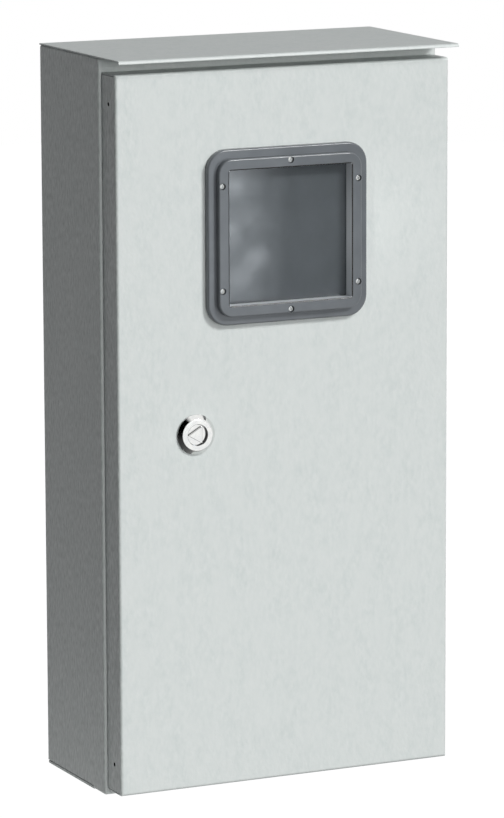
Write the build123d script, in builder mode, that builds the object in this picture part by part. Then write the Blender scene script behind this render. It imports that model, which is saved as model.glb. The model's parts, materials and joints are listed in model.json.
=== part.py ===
from build123d import *
import os

os.makedirs("parts", exist_ok=True)

# Steel wall enclosure with a window in its door, in millimetres.
# X runs to the right, Y into the wall and Z up. The origin is the centre of the
# wall holes on the back face. A name that ends in _out is a distance from the wall,
# and Plane.XZ.offset(distance) is the plane at that distance, facing the room.

# Body
body_width = 300.0
body_height = 600.0
body_depth = 119.0
body_sheet = 1.2
body_inside_bend = 0.8
flange_width = 25.0
rim_height = 18.0
rim_corner = 5.0

# Roof
roof_sheet_thickness = 1.2
roof_overhang = 13.0
roof_inside_bend = 1.3
roof_lip_straight = 0.3

# Holes in the back wall
wall_hole_inset = 35.0
wall_hole_radius = 4.5

# Mounting plate on its studs
stud_radius = 3.0
stud_inset = 15.0
spacer_height = 10.0
spacer_radius = 6.0
plate_thickness = 2.0
plate_from_side = 30.0
plate_from_end = 55.0
plate_corner = 6.0
stud_spare = 4.0

# Nuts and washers of the M6 studs
m6_nut_flats = 10.0
m6_nut_height = 5.0
m6_washer_radius = 6.0
m6_washer_height = 1.6
thread_clearance = 0.05
hole_clearance = 0.4
earth_stud_length = 16.0
body_earth_x = -60.0
body_earth_below_plate = 24.0

# Cable entry: the floor steps up behind its front strip, and the plate fills the step from below
floor_step = 2.9
floor_step_gap = 0.3
gland_from_side = 0.3
gland_from_wall = 1.0
gland_from_front = 23.0
gland_sheet = 2.0
gland_gasket_height = 1.0
gland_gasket_inset = 1.0
gland_screw_from_end = 19.7
gland_screw_from_edge = 11.0
gland_cut_from_end_screws = 15.0
gland_cut_from_edge_screws = 8.5
gland_plate_corner = 1.0
gland_cut_corner = 4.0
m5_radius = 2.5
m5_head_radius = 4.75
m5_head_height = 2.8
m5_nut_flats = 8.0
m5_nut_height = 4.0

# Door
door_side_gap = 2.4
door_top_gap = 12.2
door_bottom_gap = 4.8
door_rear_gap = 1.5
door_depth = 25.9
door_sheet = 1.2
door_inside_bend = 1.3
door_corner = 1.0
seam_width = 0.5
flange_hole_radius = 1.6
flange_hole_from_face = 13.3
flange_hole_from_end = 24.0
gasket_width = 10.0
gasket_gap = 0.3
door_earth_from_edge = 39.6
door_earth_from_bottom = 40.0

# Hinges, on the right
hinge_inset = 4.6
hinge_setback = 12.0
hinge_from_hole = 26.0
pin_radius = 1.75
knuckle_radius = 3.0
running_clearance = 0.05
leaf_sheet = 1.5
door_knuckle_length = 14.0
body_knuckle_length = 10.0
knuckle_gap = 0.3
pin_head_radius = 2.6
pin_head_height = 1.2
leaf_clear_of_flange = 2.0
leaf_screw_spacing = 20.0
leaf_screw_from_flange = 8.0
door_leaf_from_face = 1.7
door_leaf_clearance = 1.0
door_leaf_tab = 7.0
m4_radius = 2.0
m4_head_radius = 3.5
m4_head_height = 2.2
m4_nut_flats = 7.0
m4_nut_height = 3.2
m3_radius = 1.5
m3_nut_flats = 5.5
m3_nut_height = 2.4
flange_screw_head_radius = 2.8
flange_screw_head_height = 1.6

# Window
window_from_door_top = 133.9
opening_size = 108.6
opening_corner = 1.5
opening_edge = 0.6
raised_width = 9.1
raised_corner = 12.0
raised_height = 5.7
raised_edge = 1.3
bezel_flange_width = 7.3
bezel_flange_height = 4.8
bezel_corner = 17.0
bezel_edge = 1.6
seal_thickness = 1.0
seal_inset = 0.6
pane_lap = 2.7
pane_thickness = 3.0
pane_clearance = 0.5
clamp_width = 10.5
clamp_corner = 8.0
clamp_web = 2.0
window_screw_inset = 3.2
window_screw_from_corner = 21.4
window_screw_head_radius = 2.4
window_screw_head_height = 2.0
window_screw_pocket_radius = 2.6
window_screw_pocket_depth = 3.0
screw_spare = 1.0

# Lock
lock_from_door_edge = 67.5
lock_head_radius = 16.3
lock_head_taper = 3.5
lock_head_edge = 0.6
lock_head_height = 3.8
lock_seal_thickness = 1.0
lock_seal_inset = 0.6
lock_barrel_radius = 10.0
lock_barrel_flats = 18.0
lock_barrel_clearance = 0.2
lock_recess_radius = 8.7
lock_recess_depth = 3.4
lock_nut_flats = 27.0
lock_nut_height = 5.0
insert_clearance = 0.3
insert_disc_height = 0.8
insert_post_inset = 0.4
insert_post_corner = 0.5
insert_tip_angle = 180.0
spindle_radius = 5.0
spindle_square = 7.0
cam_clearance = 0.8
cam_end_play = 0.5
cam_thickness = 2.5
cam_catch = 10.4
cam_width = 16.0
cam_hub_radius = 11.0
cam_corner = 3.0
cam_screw_length = 12.0
cam_screw_flats = 8.0
cam_screw_head_height = 3.5
cam_washer_radius = 7.0
cam_washer_height = 1.2

# Fasteners. The first four are shares of a screw head's radius or height.
head_round = 0.6
cross_length = 1.0
cross_width = 0.25
cross_depth = 0.5
thread_chamfer = 0.5
nut_chamfer = 0.3

# Places worked out from the sizes above
body_bend = body_inside_bend + body_sheet
roof_bend = roof_inside_bend + roof_sheet_thickness
roof_lip = roof_bend + roof_lip_straight
body_bottom = -body_height / 2
body_top = body_height / 2 - roof_sheet_thickness
shell_height = body_top - body_bottom
rim_width = body_width - 2 * flange_width
rim_reach = body_height - 2 * flange_width
rim_out = body_depth + rim_height
wall_hole_spacing_x = body_width - 2 * wall_hole_inset
wall_hole_spacing_z = body_height - 2 * wall_hole_inset
back_inside_out = body_sheet
flange_inside_out = body_depth - body_sheet

door_bend = door_inside_bend + door_sheet
door_width = body_width - 2 * door_side_gap
door_top = body_height / 2 - door_top_gap
door_bottom = body_bottom + door_bottom_gap
door_height = door_top - door_bottom
door_middle = (door_top + door_bottom) / 2
door_rear_out = body_depth + door_rear_gap
door_face_out = door_rear_out + door_depth
door_inside_out = door_face_out - door_sheet
door_flange_inside_x = door_width / 2 - door_sheet
flange_hole_out = door_face_out - flange_hole_from_face
flange_hole_heights = [door_bottom + flange_hole_from_end, door_top - flange_hole_from_end]
roof_out = door_face_out + roof_overhang

window_middle = door_top - window_from_door_top
raised_size = opening_size + 2 * raised_width
bezel_size = raised_size + 2 * bezel_flange_width
pane_size = opening_size + 2 * pane_lap
bezel_back_out = door_face_out + seal_thickness
bezel_step_out = bezel_back_out + bezel_flange_height
bezel_front_out = bezel_step_out + raised_height
pane_back_out = door_face_out - pane_thickness
clamp_back_out = pane_back_out - clamp_web
window_cut_size = pane_size + 2 * pane_clearance
clamp_size = window_cut_size + 2 * clamp_width
window_screw_seat_out = bezel_front_out - window_screw_pocket_depth
window_screw_from_centre = raised_size / 2 - window_screw_inset
window_screw_side_height = raised_size / 2 - window_screw_from_corner
window_screw_points = [
    (x, window_middle + z)
    for x, z in [
        (0, window_screw_from_centre),
        (0, -window_screw_from_centre),
        (window_screw_from_centre, window_screw_side_height),
        (window_screw_from_centre, -window_screw_side_height),
        (-window_screw_from_centre, window_screw_side_height),
        (-window_screw_from_centre, -window_screw_side_height),
    ]
]

lock_x = -door_width / 2 + lock_from_door_edge
lock_face_radius = lock_head_radius - lock_head_taper
lock_seal_radius = lock_head_radius - lock_seal_inset
insert_disc_radius = lock_recess_radius - insert_clearance
insert_post_radius = insert_disc_radius - insert_post_inset
lock_back_out = door_face_out + lock_seal_thickness
lock_front_out = lock_back_out + lock_head_height
recess_floor_out = lock_front_out - lock_recess_depth
cam_front_out = flange_inside_out - cam_clearance
cam_back_out = cam_front_out - cam_thickness
lock_barrel_end_out = cam_front_out + cam_end_play
cam_length = lock_x + rim_width / 2 + cam_catch
cam_square_hole = spindle_square + 2 * running_clearance

hinge_x = door_width / 2 - hinge_inset
hinge_out = door_rear_out + hinge_setback
hinge_heights = [
    flange_hole_heights[0] + hinge_from_hole,
    flange_hole_heights[1] - hinge_from_hole,
]
hinge_half_length = door_knuckle_length / 2 + knuckle_gap + body_knuckle_length
body_knuckle_middle = door_knuckle_length / 2 + knuckle_gap + body_knuckle_length / 2
knuckle_front_out = hinge_out + knuckle_radius
leaf_front_out = door_inside_out - door_leaf_from_face
door_leaf_reach = leaf_front_out - knuckle_front_out - door_leaf_clearance
leaf_screw_out = body_depth + leaf_screw_from_flange
leaf_screw_points = [
    (-leaf_screw_out, height + side * leaf_screw_spacing / 2)
    for height in hinge_heights
    for side in (-1, 1)
]

plate_width = body_width - 2 * plate_from_side
plate_height = body_height - 2 * plate_from_end
stud_spacing_x = plate_width - 2 * stud_inset
stud_spacing_z = plate_height - 2 * stud_inset
plate_back_out = back_inside_out + spacer_height
plate_front_out = plate_back_out + plate_thickness
stud_length = (
    spacer_height + plate_thickness + m6_washer_height + m6_nut_height + stud_spare
)
body_earth_z = -plate_height / 2 - body_earth_below_plate
door_earth_x = door_width / 2 - door_earth_from_edge
door_earth_z = door_bottom + door_earth_from_bottom

gland_length = body_width - 2 * gland_from_side
gland_width = body_depth - gland_from_wall - gland_from_front
gland_screw_spacing_x = gland_length / 2 - gland_screw_from_end
gland_screw_spacing_y = gland_width - 2 * gland_screw_from_edge
gland_cut_length = 2 * (gland_screw_spacing_x - gland_cut_from_end_screws)
gland_cut_width = gland_screw_spacing_y - 2 * gland_cut_from_edge_screws
gland_middle_out = gland_from_wall + gland_width / 2
floor_step_out = gland_from_wall + gland_width + floor_step_gap
step_bottom = body_bottom + floor_step
step_inside = step_bottom + body_sheet
gland_top = step_bottom - gland_gasket_height
gland_bottom = gland_top - gland_sheet
floor_inside = body_bottom + body_sheet


# Fasteners, made along +Z with the clamped face at zero
def pan_screw(radius, length, head_radius, head_height):
    with BuildPart() as screw:
        with BuildSketch():
            Circle(radius)
        extrude(amount=-length)
        chamfer(screw.faces().sort_by(Axis.Z)[0].edges(), thread_chamfer)
        with BuildSketch():
            Circle(head_radius)
        extrude(amount=head_height)
        fillet(screw.faces().sort_by(Axis.Z)[-1].edges(), head_round * head_height)
        with BuildSketch(Plane.XY.offset(head_height)):
            Rectangle(cross_length * head_radius, cross_width * head_radius)
            Rectangle(cross_width * head_radius, cross_length * head_radius)
        extrude(amount=-cross_depth * head_height, mode=Mode.SUBTRACT)
    return screw.part


def hex_screw(radius, length, flats, head_height):
    with BuildPart() as screw:
        with BuildSketch():
            Circle(radius)
        extrude(amount=-length)
        with BuildSketch():
            RegularPolygon(flats / 2, 6, major_radius=False)
        extrude(amount=head_height)
        chamfer(screw.faces().sort_by(Axis.Z)[-1].edges(), nut_chamfer)
    return screw.part


def hex_nut(radius, flats, height):
    with BuildPart() as nut:
        with BuildSketch():
            RegularPolygon(flats / 2, 6, major_radius=False)
        extrude(amount=height)
        chamfer(nut.faces().sort_by(Axis.Z)[-1].edges(), nut_chamfer)
        with BuildSketch():
            Circle(radius + thread_clearance)
        extrude(amount=height, mode=Mode.SUBTRACT)
    return nut.part


def ring(inner_radius, outer_radius, height):
    with BuildPart() as washer:
        with BuildSketch():
            Circle(outer_radius)
            Circle(inner_radius, mode=Mode.SUBTRACT)
        extrude(amount=height)
    return washer.part


def weld_stud(radius, length):
    with BuildPart() as stud:
        with BuildSketch():
            Circle(radius)
        extrude(amount=length)
        chamfer(stud.faces().sort_by(Axis.Z)[-1].edges(), thread_chamfer)
    return stud.part


# Body shell: a folded and welded box with a sealing rim round its mouth
with BuildPart() as cavity:
    with BuildSketch(Plane.XY.offset(floor_inside)):
        with Locations((0, -body_depth / 2)):
            Rectangle(body_width - 2 * body_sheet, body_depth - 2 * body_sheet)
    extrude(amount=shell_height - 2 * body_sheet)
    fillet(cavity.edges(), body_bend - body_sheet)

with BuildPart() as body_shell:
    with BuildSketch(Plane.XY.offset(body_bottom)):
        with Locations((0, -body_depth / 2)):
            Rectangle(body_width, body_depth)
    extrude(amount=shell_height)
    fillet(body_shell.edges(), body_bend)
    add(cavity.part, mode=Mode.SUBTRACT)
    with BuildSketch(Plane.XY.offset(step_bottom)):
        with Locations((0, -(floor_step_out + body_sheet) / 2)):
            Rectangle(body_width - body_sheet, floor_step_out + body_sheet)
    extrude(amount=body_sheet)
    with BuildSketch(Plane.XY.offset(body_bottom)):
        with Locations((0, -floor_step_out - body_sheet / 2)):
            Rectangle(body_width - 2 * body_bend, body_sheet)
    extrude(amount=floor_step)
    with BuildSketch(Plane.XY.offset(body_bottom + body_bend)):
        with Locations((0, -floor_step_out - body_sheet / 2)):
            Rectangle(body_width - body_sheet, body_sheet)
    extrude(amount=floor_step - body_bend)
    with BuildSketch(Plane.XY.offset(body_bottom)):
        with Locations((0, -floor_step_out / 2)):
            Rectangle(body_width, floor_step_out)
    extrude(amount=floor_step, mode=Mode.SUBTRACT)
    with BuildSketch(Plane.XZ.offset(body_depth)):
        RectangleRounded(rim_width, rim_reach, rim_corner)
    extrude(amount=rim_height)
    with BuildSketch(Plane.XZ.offset(rim_out)):
        RectangleRounded(
            rim_width - 2 * body_sheet, rim_reach - 2 * body_sheet, rim_corner - body_sheet
        )
    extrude(amount=-rim_height - 2 * body_sheet, mode=Mode.SUBTRACT)
    with BuildSketch(Plane.XZ):
        with GridLocations(wall_hole_spacing_x, wall_hole_spacing_z, 2, 2):
            Circle(wall_hole_radius)
    extrude(amount=2 * body_sheet, mode=Mode.SUBTRACT)
    with BuildSketch(Plane.XY.offset(step_bottom)):
        with Locations((0, -gland_middle_out)):
            RectangleRounded(gland_cut_length, gland_cut_width, gland_cut_corner)
            with GridLocations(gland_screw_spacing_x, gland_screw_spacing_y, 3, 2):
                Circle(m5_radius + hole_clearance)
    extrude(amount=2 * body_sheet, mode=Mode.SUBTRACT)
    with BuildSketch(Plane.YZ.offset(rim_width / 2)):
        with Locations(*leaf_screw_points):
            Circle(m4_radius + hole_clearance)
    extrude(amount=-2 * body_sheet, mode=Mode.SUBTRACT)
body_shell.part.label = "body_shell"
export_step(body_shell.part, "parts/body_shell.step")

# Roof sheet, flush with the sides and the back, with a rounded lip at the front
with BuildPart() as roof_sheet:
    with BuildSketch(Plane.YZ) as roof_section:
        with BuildLine():
            Polyline(
                (0, body_height / 2),
                (-roof_out, body_height / 2),
                (-roof_out, body_height / 2 - roof_lip),
                (-roof_out + roof_sheet_thickness, body_height / 2 - roof_lip),
                (-roof_out + roof_sheet_thickness, body_top),
                (0, body_top),
                close=True,
            )
        make_face()
        outer_bend = roof_section.vertices().sort_by_distance((-roof_out, body_height / 2))[0]
        fillet(outer_bend, roof_bend)
        inner_corner = (-roof_out + roof_sheet_thickness, body_top)
        inner_bend = roof_section.vertices().sort_by_distance(inner_corner)[0]
        fillet(inner_bend, roof_bend - roof_sheet_thickness)
    extrude(amount=body_width / 2, both=True)
roof_sheet.part.label = "roof_sheet"
export_step(roof_sheet.part, "parts/roof_sheet.step")

# Blank cable entry plate on a gasket, in the step under the floor
with BuildPart() as gland_plate:
    with BuildSketch(Plane.XY.offset(gland_bottom)):
        with Locations((0, -gland_middle_out)):
            RectangleRounded(gland_length, gland_width, gland_plate_corner)
            with GridLocations(gland_screw_spacing_x, gland_screw_spacing_y, 3, 2):
                Circle(m5_radius + hole_clearance, mode=Mode.SUBTRACT)
    extrude(amount=gland_sheet)
gland_plate.part.label = "gland_plate"
export_step(gland_plate.part, "parts/gland_plate.step")

with BuildPart() as gland_gasket:
    with BuildSketch(Plane.XY.offset(gland_top)):
        with Locations((0, -gland_middle_out)):
            RectangleRounded(
                gland_length - 2 * gland_gasket_inset,
                gland_width - 2 * gland_gasket_inset,
                gland_plate_corner,
            )
            RectangleRounded(
                gland_cut_length, gland_cut_width, gland_cut_corner, mode=Mode.SUBTRACT
            )
            with GridLocations(gland_screw_spacing_x, gland_screw_spacing_y, 3, 2):
                Circle(m5_radius + hole_clearance, mode=Mode.SUBTRACT)
    extrude(amount=gland_gasket_height)
gland_gasket.part.label = "gland_gasket"
export_step(gland_gasket.part, "parts/gland_gasket.step")

gland_screw_length = (
    gland_sheet + gland_gasket_height + body_sheet + m5_nut_height + screw_spare
)
gland_screw = pan_screw(m5_radius, gland_screw_length, m5_head_radius, m5_head_height)
under_gland = Plane(origin=(0, -gland_middle_out, gland_bottom), x_dir=(1, 0, 0), z_dir=(0, 0, -1))
with BuildPart(under_gland) as gland_screws:
    with GridLocations(gland_screw_spacing_x, gland_screw_spacing_y, 3, 2):
        add(gland_screw)
gland_screws.part.label = "gland_screws"
export_step(gland_screws.part, "parts/gland_screws.step")

gland_nut = hex_nut(m5_radius, m5_nut_flats, m5_nut_height)
with BuildPart(Plane(origin=(0, -gland_middle_out, step_inside))) as gland_nuts:
    with GridLocations(gland_screw_spacing_x, gland_screw_spacing_y, 3, 2):
        add(gland_nut)
gland_nuts.part.label = "gland_nuts"
export_step(gland_nuts.part, "parts/gland_nuts.step")

# Mounting plate on four studs welded to the back wall
plate_stud = weld_stud(stud_radius, stud_length)
with BuildPart(Plane.XZ.offset(back_inside_out)) as plate_studs:
    with GridLocations(stud_spacing_x, stud_spacing_z, 2, 2):
        add(plate_stud)
plate_studs.part.label = "plate_studs"
export_step(plate_studs.part, "parts/plate_studs.step")

plate_spacer = ring(stud_radius + thread_clearance, spacer_radius, spacer_height)
with BuildPart(Plane.XZ.offset(back_inside_out)) as plate_spacers:
    with GridLocations(stud_spacing_x, stud_spacing_z, 2, 2):
        add(plate_spacer)
plate_spacers.part.label = "plate_spacers"
export_step(plate_spacers.part, "parts/plate_spacers.step")

with BuildPart() as mounting_plate:
    with BuildSketch(Plane.XZ.offset(plate_back_out)):
        RectangleRounded(plate_width, plate_height, plate_corner)
        with GridLocations(stud_spacing_x, stud_spacing_z, 2, 2):
            Circle(stud_radius + hole_clearance, mode=Mode.SUBTRACT)
    extrude(amount=plate_thickness)
mounting_plate.part.label = "mounting_plate"
export_step(mounting_plate.part, "parts/mounting_plate.step")

m6_washer = ring(stud_radius + thread_clearance, m6_washer_radius, m6_washer_height)
with BuildPart(Plane.XZ.offset(plate_front_out)) as plate_washers:
    with GridLocations(stud_spacing_x, stud_spacing_z, 2, 2):
        add(m6_washer)
plate_washers.part.label = "plate_washers"
export_step(plate_washers.part, "parts/plate_washers.step")

m6_nut = hex_nut(stud_radius, m6_nut_flats, m6_nut_height)
with BuildPart(Plane.XZ.offset(plate_front_out + m6_washer_height)) as plate_nuts:
    with GridLocations(stud_spacing_x, stud_spacing_z, 2, 2):
        add(m6_nut)
plate_nuts.part.label = "plate_nuts"
export_step(plate_nuts.part, "parts/plate_nuts.step")

# Earth stud of the body, on the back wall below the mounting plate
earth_stud = weld_stud(stud_radius, earth_stud_length)
with BuildPart(Plane.XZ.offset(back_inside_out)) as body_earth_stud:
    with Locations((body_earth_x, body_earth_z)):
        add(earth_stud)
body_earth_stud.part.label = "body_earth_stud"
export_step(body_earth_stud.part, "parts/body_earth_stud.step")

with BuildPart(Plane.XZ.offset(back_inside_out)) as body_earth_washer:
    with Locations((body_earth_x, body_earth_z)):
        add(m6_washer)
body_earth_washer.part.label = "body_earth_washer"
export_step(body_earth_washer.part, "parts/body_earth_washer.step")

with BuildPart(Plane.XZ.offset(back_inside_out + m6_washer_height)) as body_earth_nut:
    with Locations((body_earth_x, body_earth_z)):
        add(m6_nut)
body_earth_nut.part.label = "body_earth_nut"
export_step(body_earth_nut.part, "parts/body_earth_nut.step")

# Hinge leaves on the body: a plate on the rim and a gooseneck that carries the pin,
# so that the edge of the door can swing in between
leaf_x = rim_width / 2
leaf_back_out = body_depth + leaf_clear_of_flange
with BuildPart() as hinge_body_leaves:
    for height in hinge_heights:
        with BuildSketch(Plane.XY.offset(height)):
            with Locations((leaf_x, -leaf_back_out)):
                Rectangle(
                    leaf_sheet, knuckle_front_out - leaf_back_out, align=(Align.MIN, Align.MAX)
                )
        extrude(amount=hinge_half_length, both=True)
        for side in (-1, 1):
            with BuildSketch(Plane.XY.offset(height + side * body_knuckle_middle)):
                with Locations((leaf_x, -knuckle_front_out)):
                    Rectangle(hinge_x - leaf_x, leaf_sheet, align=(Align.MIN, Align.MIN))
                with Locations((hinge_x, -hinge_out)):
                    Circle(knuckle_radius)
                    Circle(pin_radius + running_clearance, mode=Mode.SUBTRACT)
            extrude(amount=body_knuckle_length / 2, both=True)
    with BuildSketch(Plane.YZ.offset(leaf_x)):
        with Locations(*leaf_screw_points):
            Circle(m4_radius + hole_clearance)
    extrude(amount=2 * leaf_sheet, mode=Mode.SUBTRACT)
hinge_body_leaves.part.label = "hinge_body_leaves"
export_step(hinge_body_leaves.part, "parts/hinge_body_leaves.step")

leaf_screw_length = leaf_sheet + body_sheet + m4_nut_height + screw_spare
leaf_screw = pan_screw(m4_radius, leaf_screw_length, m4_head_radius, m4_head_height)
with BuildPart(Plane.YZ.offset(leaf_x + leaf_sheet)) as hinge_leaf_screws:
    with Locations(*leaf_screw_points):
        add(leaf_screw)
hinge_leaf_screws.part.label = "hinge_leaf_screws"
export_step(hinge_leaf_screws.part, "parts/hinge_leaf_screws.step")

leaf_nut = hex_nut(m4_radius, m4_nut_flats, m4_nut_height)
with BuildPart(Plane.YZ.offset(leaf_x - body_sheet - m4_nut_height)) as hinge_leaf_nuts:
    with Locations(*leaf_screw_points):
        add(leaf_nut)
hinge_leaf_nuts.part.label = "hinge_leaf_nuts"
export_step(hinge_leaf_nuts.part, "parts/hinge_leaf_nuts.step")

with BuildPart() as hinge_pins:
    for height in hinge_heights:
        with BuildSketch(Plane.XY.offset(height - hinge_half_length - pin_head_height)):
            with Locations((hinge_x, -hinge_out)):
                Circle(pin_radius)
        extrude(amount=2 * hinge_half_length + pin_head_height)
        with BuildSketch(Plane.XY.offset(height + hinge_half_length)):
            with Locations((hinge_x, -hinge_out)):
                Circle(pin_head_radius)
        extrude(amount=pin_head_height)
hinge_pins.part.label = "hinge_pins"
export_step(hinge_pins.part, "parts/hinge_pins.step")

# Door: a folded pan with open corner seams
with BuildPart() as door_hollow:
    with BuildSketch(Plane.XZ.offset(door_rear_out)):
        with Locations((0, door_middle)):
            Rectangle(door_width - 2 * door_sheet, door_height - 2 * door_sheet)
    extrude(amount=door_depth - door_sheet)
    fillet(door_hollow.faces().sort_by(Axis.Y)[0].edges(), door_bend - door_sheet)

with BuildPart() as door_panel:
    with BuildSketch(Plane.XZ.offset(door_rear_out)):
        with Locations((0, door_middle)):
            Rectangle(door_width, door_height)
    extrude(amount=door_depth)
    fillet(door_panel.edges().filter_by(Axis.Y), door_corner)
    fillet(door_panel.faces().sort_by(Axis.Y)[0].edges(), door_bend)
    add(door_hollow.part, mode=Mode.SUBTRACT)
    with BuildSketch(Plane.XZ.offset(door_rear_out)):
        for height in (door_top - door_sheet, door_bottom + door_sheet + seam_width):
            with Locations((0, height)):
                Rectangle(door_width, seam_width, align=(Align.CENTER, Align.MAX))
    extrude(amount=door_depth - door_bend, mode=Mode.SUBTRACT)
    with BuildSketch(Plane.YZ):
        for height in flange_hole_heights:
            with Locations((-flange_hole_out, height)):
                Circle(flange_hole_radius)
    extrude(amount=door_width, both=True, mode=Mode.SUBTRACT)
    with BuildSketch(Plane.XZ.offset(door_face_out)):
        with Locations((0, window_middle)):
            RectangleRounded(window_cut_size, window_cut_size, opening_corner)
        with Locations(*window_screw_points):
            Circle(m3_radius + hole_clearance / 2)
    extrude(amount=-2 * door_sheet, mode=Mode.SUBTRACT)
    with BuildSketch(Plane.XZ.offset(door_face_out)):
        with Locations((lock_x, door_middle)):
            Circle(lock_barrel_radius + lock_barrel_clearance)
            Rectangle(
                2 * lock_head_radius,
                lock_barrel_flats + 2 * lock_barrel_clearance,
                mode=Mode.INTERSECT,
            )
    extrude(amount=-2 * door_sheet, mode=Mode.SUBTRACT)
door_panel.part.label = "door_panel"
export_step(door_panel.part, "parts/door_panel.step")

# Foam gasket inside the door, opposite the rim
gasket_middle_x = rim_width - body_sheet
gasket_middle_z = rim_reach - body_sheet
with BuildPart() as door_gasket:
    with BuildSketch(Plane.XZ.offset(rim_out + gasket_gap)):
        RectangleRounded(
            gasket_middle_x + gasket_width, gasket_middle_z + gasket_width, rim_corner
        )
        RectangleRounded(
            gasket_middle_x - gasket_width,
            gasket_middle_z - gasket_width,
            rim_corner,
            mode=Mode.SUBTRACT,
        )
    extrude(amount=door_inside_out - rim_out - gasket_gap)
door_gasket.part.label = "door_gasket"
export_step(door_gasket.part, "parts/door_gasket.step")

# Hinge leaves on the door: a strip on the flange, a solid knuckle block and a tab
# out to the flange hole
with BuildPart() as hinge_door_leaves:
    for height, hole_height in zip(hinge_heights, flange_hole_heights):
        away = 1 if hole_height > height else -1
        strip_length = hinge_half_length + hinge_from_hole + door_leaf_tab
        strip_end = height - away * hinge_half_length
        with BuildSketch(Plane.XY.offset(strip_end)):
            with Locations((door_flange_inside_x, -leaf_front_out)):
                Rectangle(leaf_sheet, door_leaf_reach, align=(Align.MAX, Align.MIN))
        extrude(amount=away * strip_length)
        with BuildSketch(Plane.XY.offset(height)):
            with Locations((hinge_x, -leaf_front_out)):
                Rectangle(
                    door_flange_inside_x - hinge_x,
                    leaf_front_out - hinge_out + knuckle_radius,
                    align=(Align.MIN, Align.MIN),
                )
            with Locations((hinge_x, -hinge_out)):
                Circle(knuckle_radius)
                Circle(pin_radius + running_clearance, mode=Mode.SUBTRACT)
        extrude(amount=door_knuckle_length / 2, both=True)
        with BuildSketch(Plane.XY.offset(hole_height)):
            with Locations((door_flange_inside_x, -leaf_front_out)):
                Rectangle(
                    leaf_sheet,
                    leaf_front_out - hinge_out + 2 * knuckle_radius,
                    align=(Align.MAX, Align.MIN),
                )
        extrude(amount=door_leaf_tab, both=True)
    with BuildSketch(Plane.YZ.offset(door_flange_inside_x)):
        for hole_height in flange_hole_heights:
            with Locations((-flange_hole_out, hole_height)):
                Circle(flange_hole_radius)
    extrude(amount=-2 * leaf_sheet, mode=Mode.SUBTRACT)
hinge_door_leaves.part.label = "hinge_door_leaves"
export_step(hinge_door_leaves.part, "parts/hinge_door_leaves.step")

flange_screw_points = [(-flange_hole_out, height) for height in flange_hole_heights]
flange_screw = pan_screw(
    m3_radius,
    door_sheet + leaf_sheet + m3_nut_height + screw_spare,
    flange_screw_head_radius,
    flange_screw_head_height,
)
with BuildPart(Plane.YZ.offset(door_width / 2)) as door_leaf_screws:
    with Locations(*flange_screw_points):
        add(flange_screw)
door_leaf_screws.part.label = "door_leaf_screws"
export_step(door_leaf_screws.part, "parts/door_leaf_screws.step")

m3_nut = hex_nut(m3_radius, m3_nut_flats, m3_nut_height)
door_leaf_nut_x = door_flange_inside_x - leaf_sheet - m3_nut_height
with BuildPart(Plane.YZ.offset(door_leaf_nut_x)) as door_leaf_nuts:
    with Locations(*flange_screw_points):
        add(m3_nut)
door_leaf_nuts.part.label = "door_leaf_nuts"
export_step(door_leaf_nuts.part, "parts/door_leaf_nuts.step")

# Earth stud of the door, beside the hinges
into_box = Plane(origin=(0, -door_inside_out, 0), x_dir=(1, 0, 0), z_dir=(0, 1, 0))
with BuildPart(into_box) as door_earth_stud:
    with Locations((door_earth_x, -door_earth_z)):
        add(earth_stud)
door_earth_stud.part.label = "door_earth_stud"
export_step(door_earth_stud.part, "parts/door_earth_stud.step")

earth_washer_out = door_inside_out - m6_washer_height
with BuildPart(Plane.XZ.offset(earth_washer_out)) as door_earth_washer:
    with Locations((door_earth_x, door_earth_z)):
        add(m6_washer)
door_earth_washer.part.label = "door_earth_washer"
export_step(door_earth_washer.part, "parts/door_earth_washer.step")

with BuildPart(Plane.XZ.offset(earth_washer_out - m6_nut_height)) as door_earth_nut:
    with Locations((door_earth_x, door_earth_z)):
        add(m6_nut)
door_earth_nut.part.label = "door_earth_nut"
export_step(door_earth_nut.part, "parts/door_earth_nut.step")

# Window: stepped bezel, flat seal, pane and clamp frame
with BuildPart() as window_bezel:
    with BuildSketch(Plane.XZ.offset(bezel_back_out)):
        with Locations((0, window_middle)):
            RectangleRounded(bezel_size, bezel_size, bezel_corner)
    extrude(amount=bezel_flange_height)
    fillet(window_bezel.faces().sort_by(Axis.Y)[0].edges(), bezel_edge)
    with BuildSketch(Plane.XZ.offset(bezel_step_out)):
        with Locations((0, window_middle)):
            RectangleRounded(raised_size, raised_size, raised_corner)
    extrude(amount=raised_height)
    fillet(window_bezel.faces().sort_by(Axis.Y)[0].edges(), raised_edge)
    with BuildSketch(Plane.XZ.offset(bezel_back_out)):
        with Locations((0, window_middle)):
            RectangleRounded(opening_size, opening_size, opening_corner)
    extrude(amount=bezel_front_out - bezel_back_out, mode=Mode.SUBTRACT)
    opening_edges = window_bezel.faces().sort_by(Axis.Y)[0].inner_wires().edges()
    fillet(opening_edges, opening_edge)
    with BuildSketch(Plane.XZ.offset(bezel_back_out)):
        with Locations(*window_screw_points):
            Circle(m3_radius + hole_clearance / 2)
    extrude(amount=bezel_front_out - bezel_back_out, mode=Mode.SUBTRACT)
    with BuildSketch(Plane.XZ.offset(window_screw_seat_out)):
        with Locations(*window_screw_points):
            Circle(window_screw_pocket_radius)
    extrude(amount=window_screw_pocket_depth, mode=Mode.SUBTRACT)
window_bezel.part.label = "window_bezel"
export_step(window_bezel.part, "parts/window_bezel.step")

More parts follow.
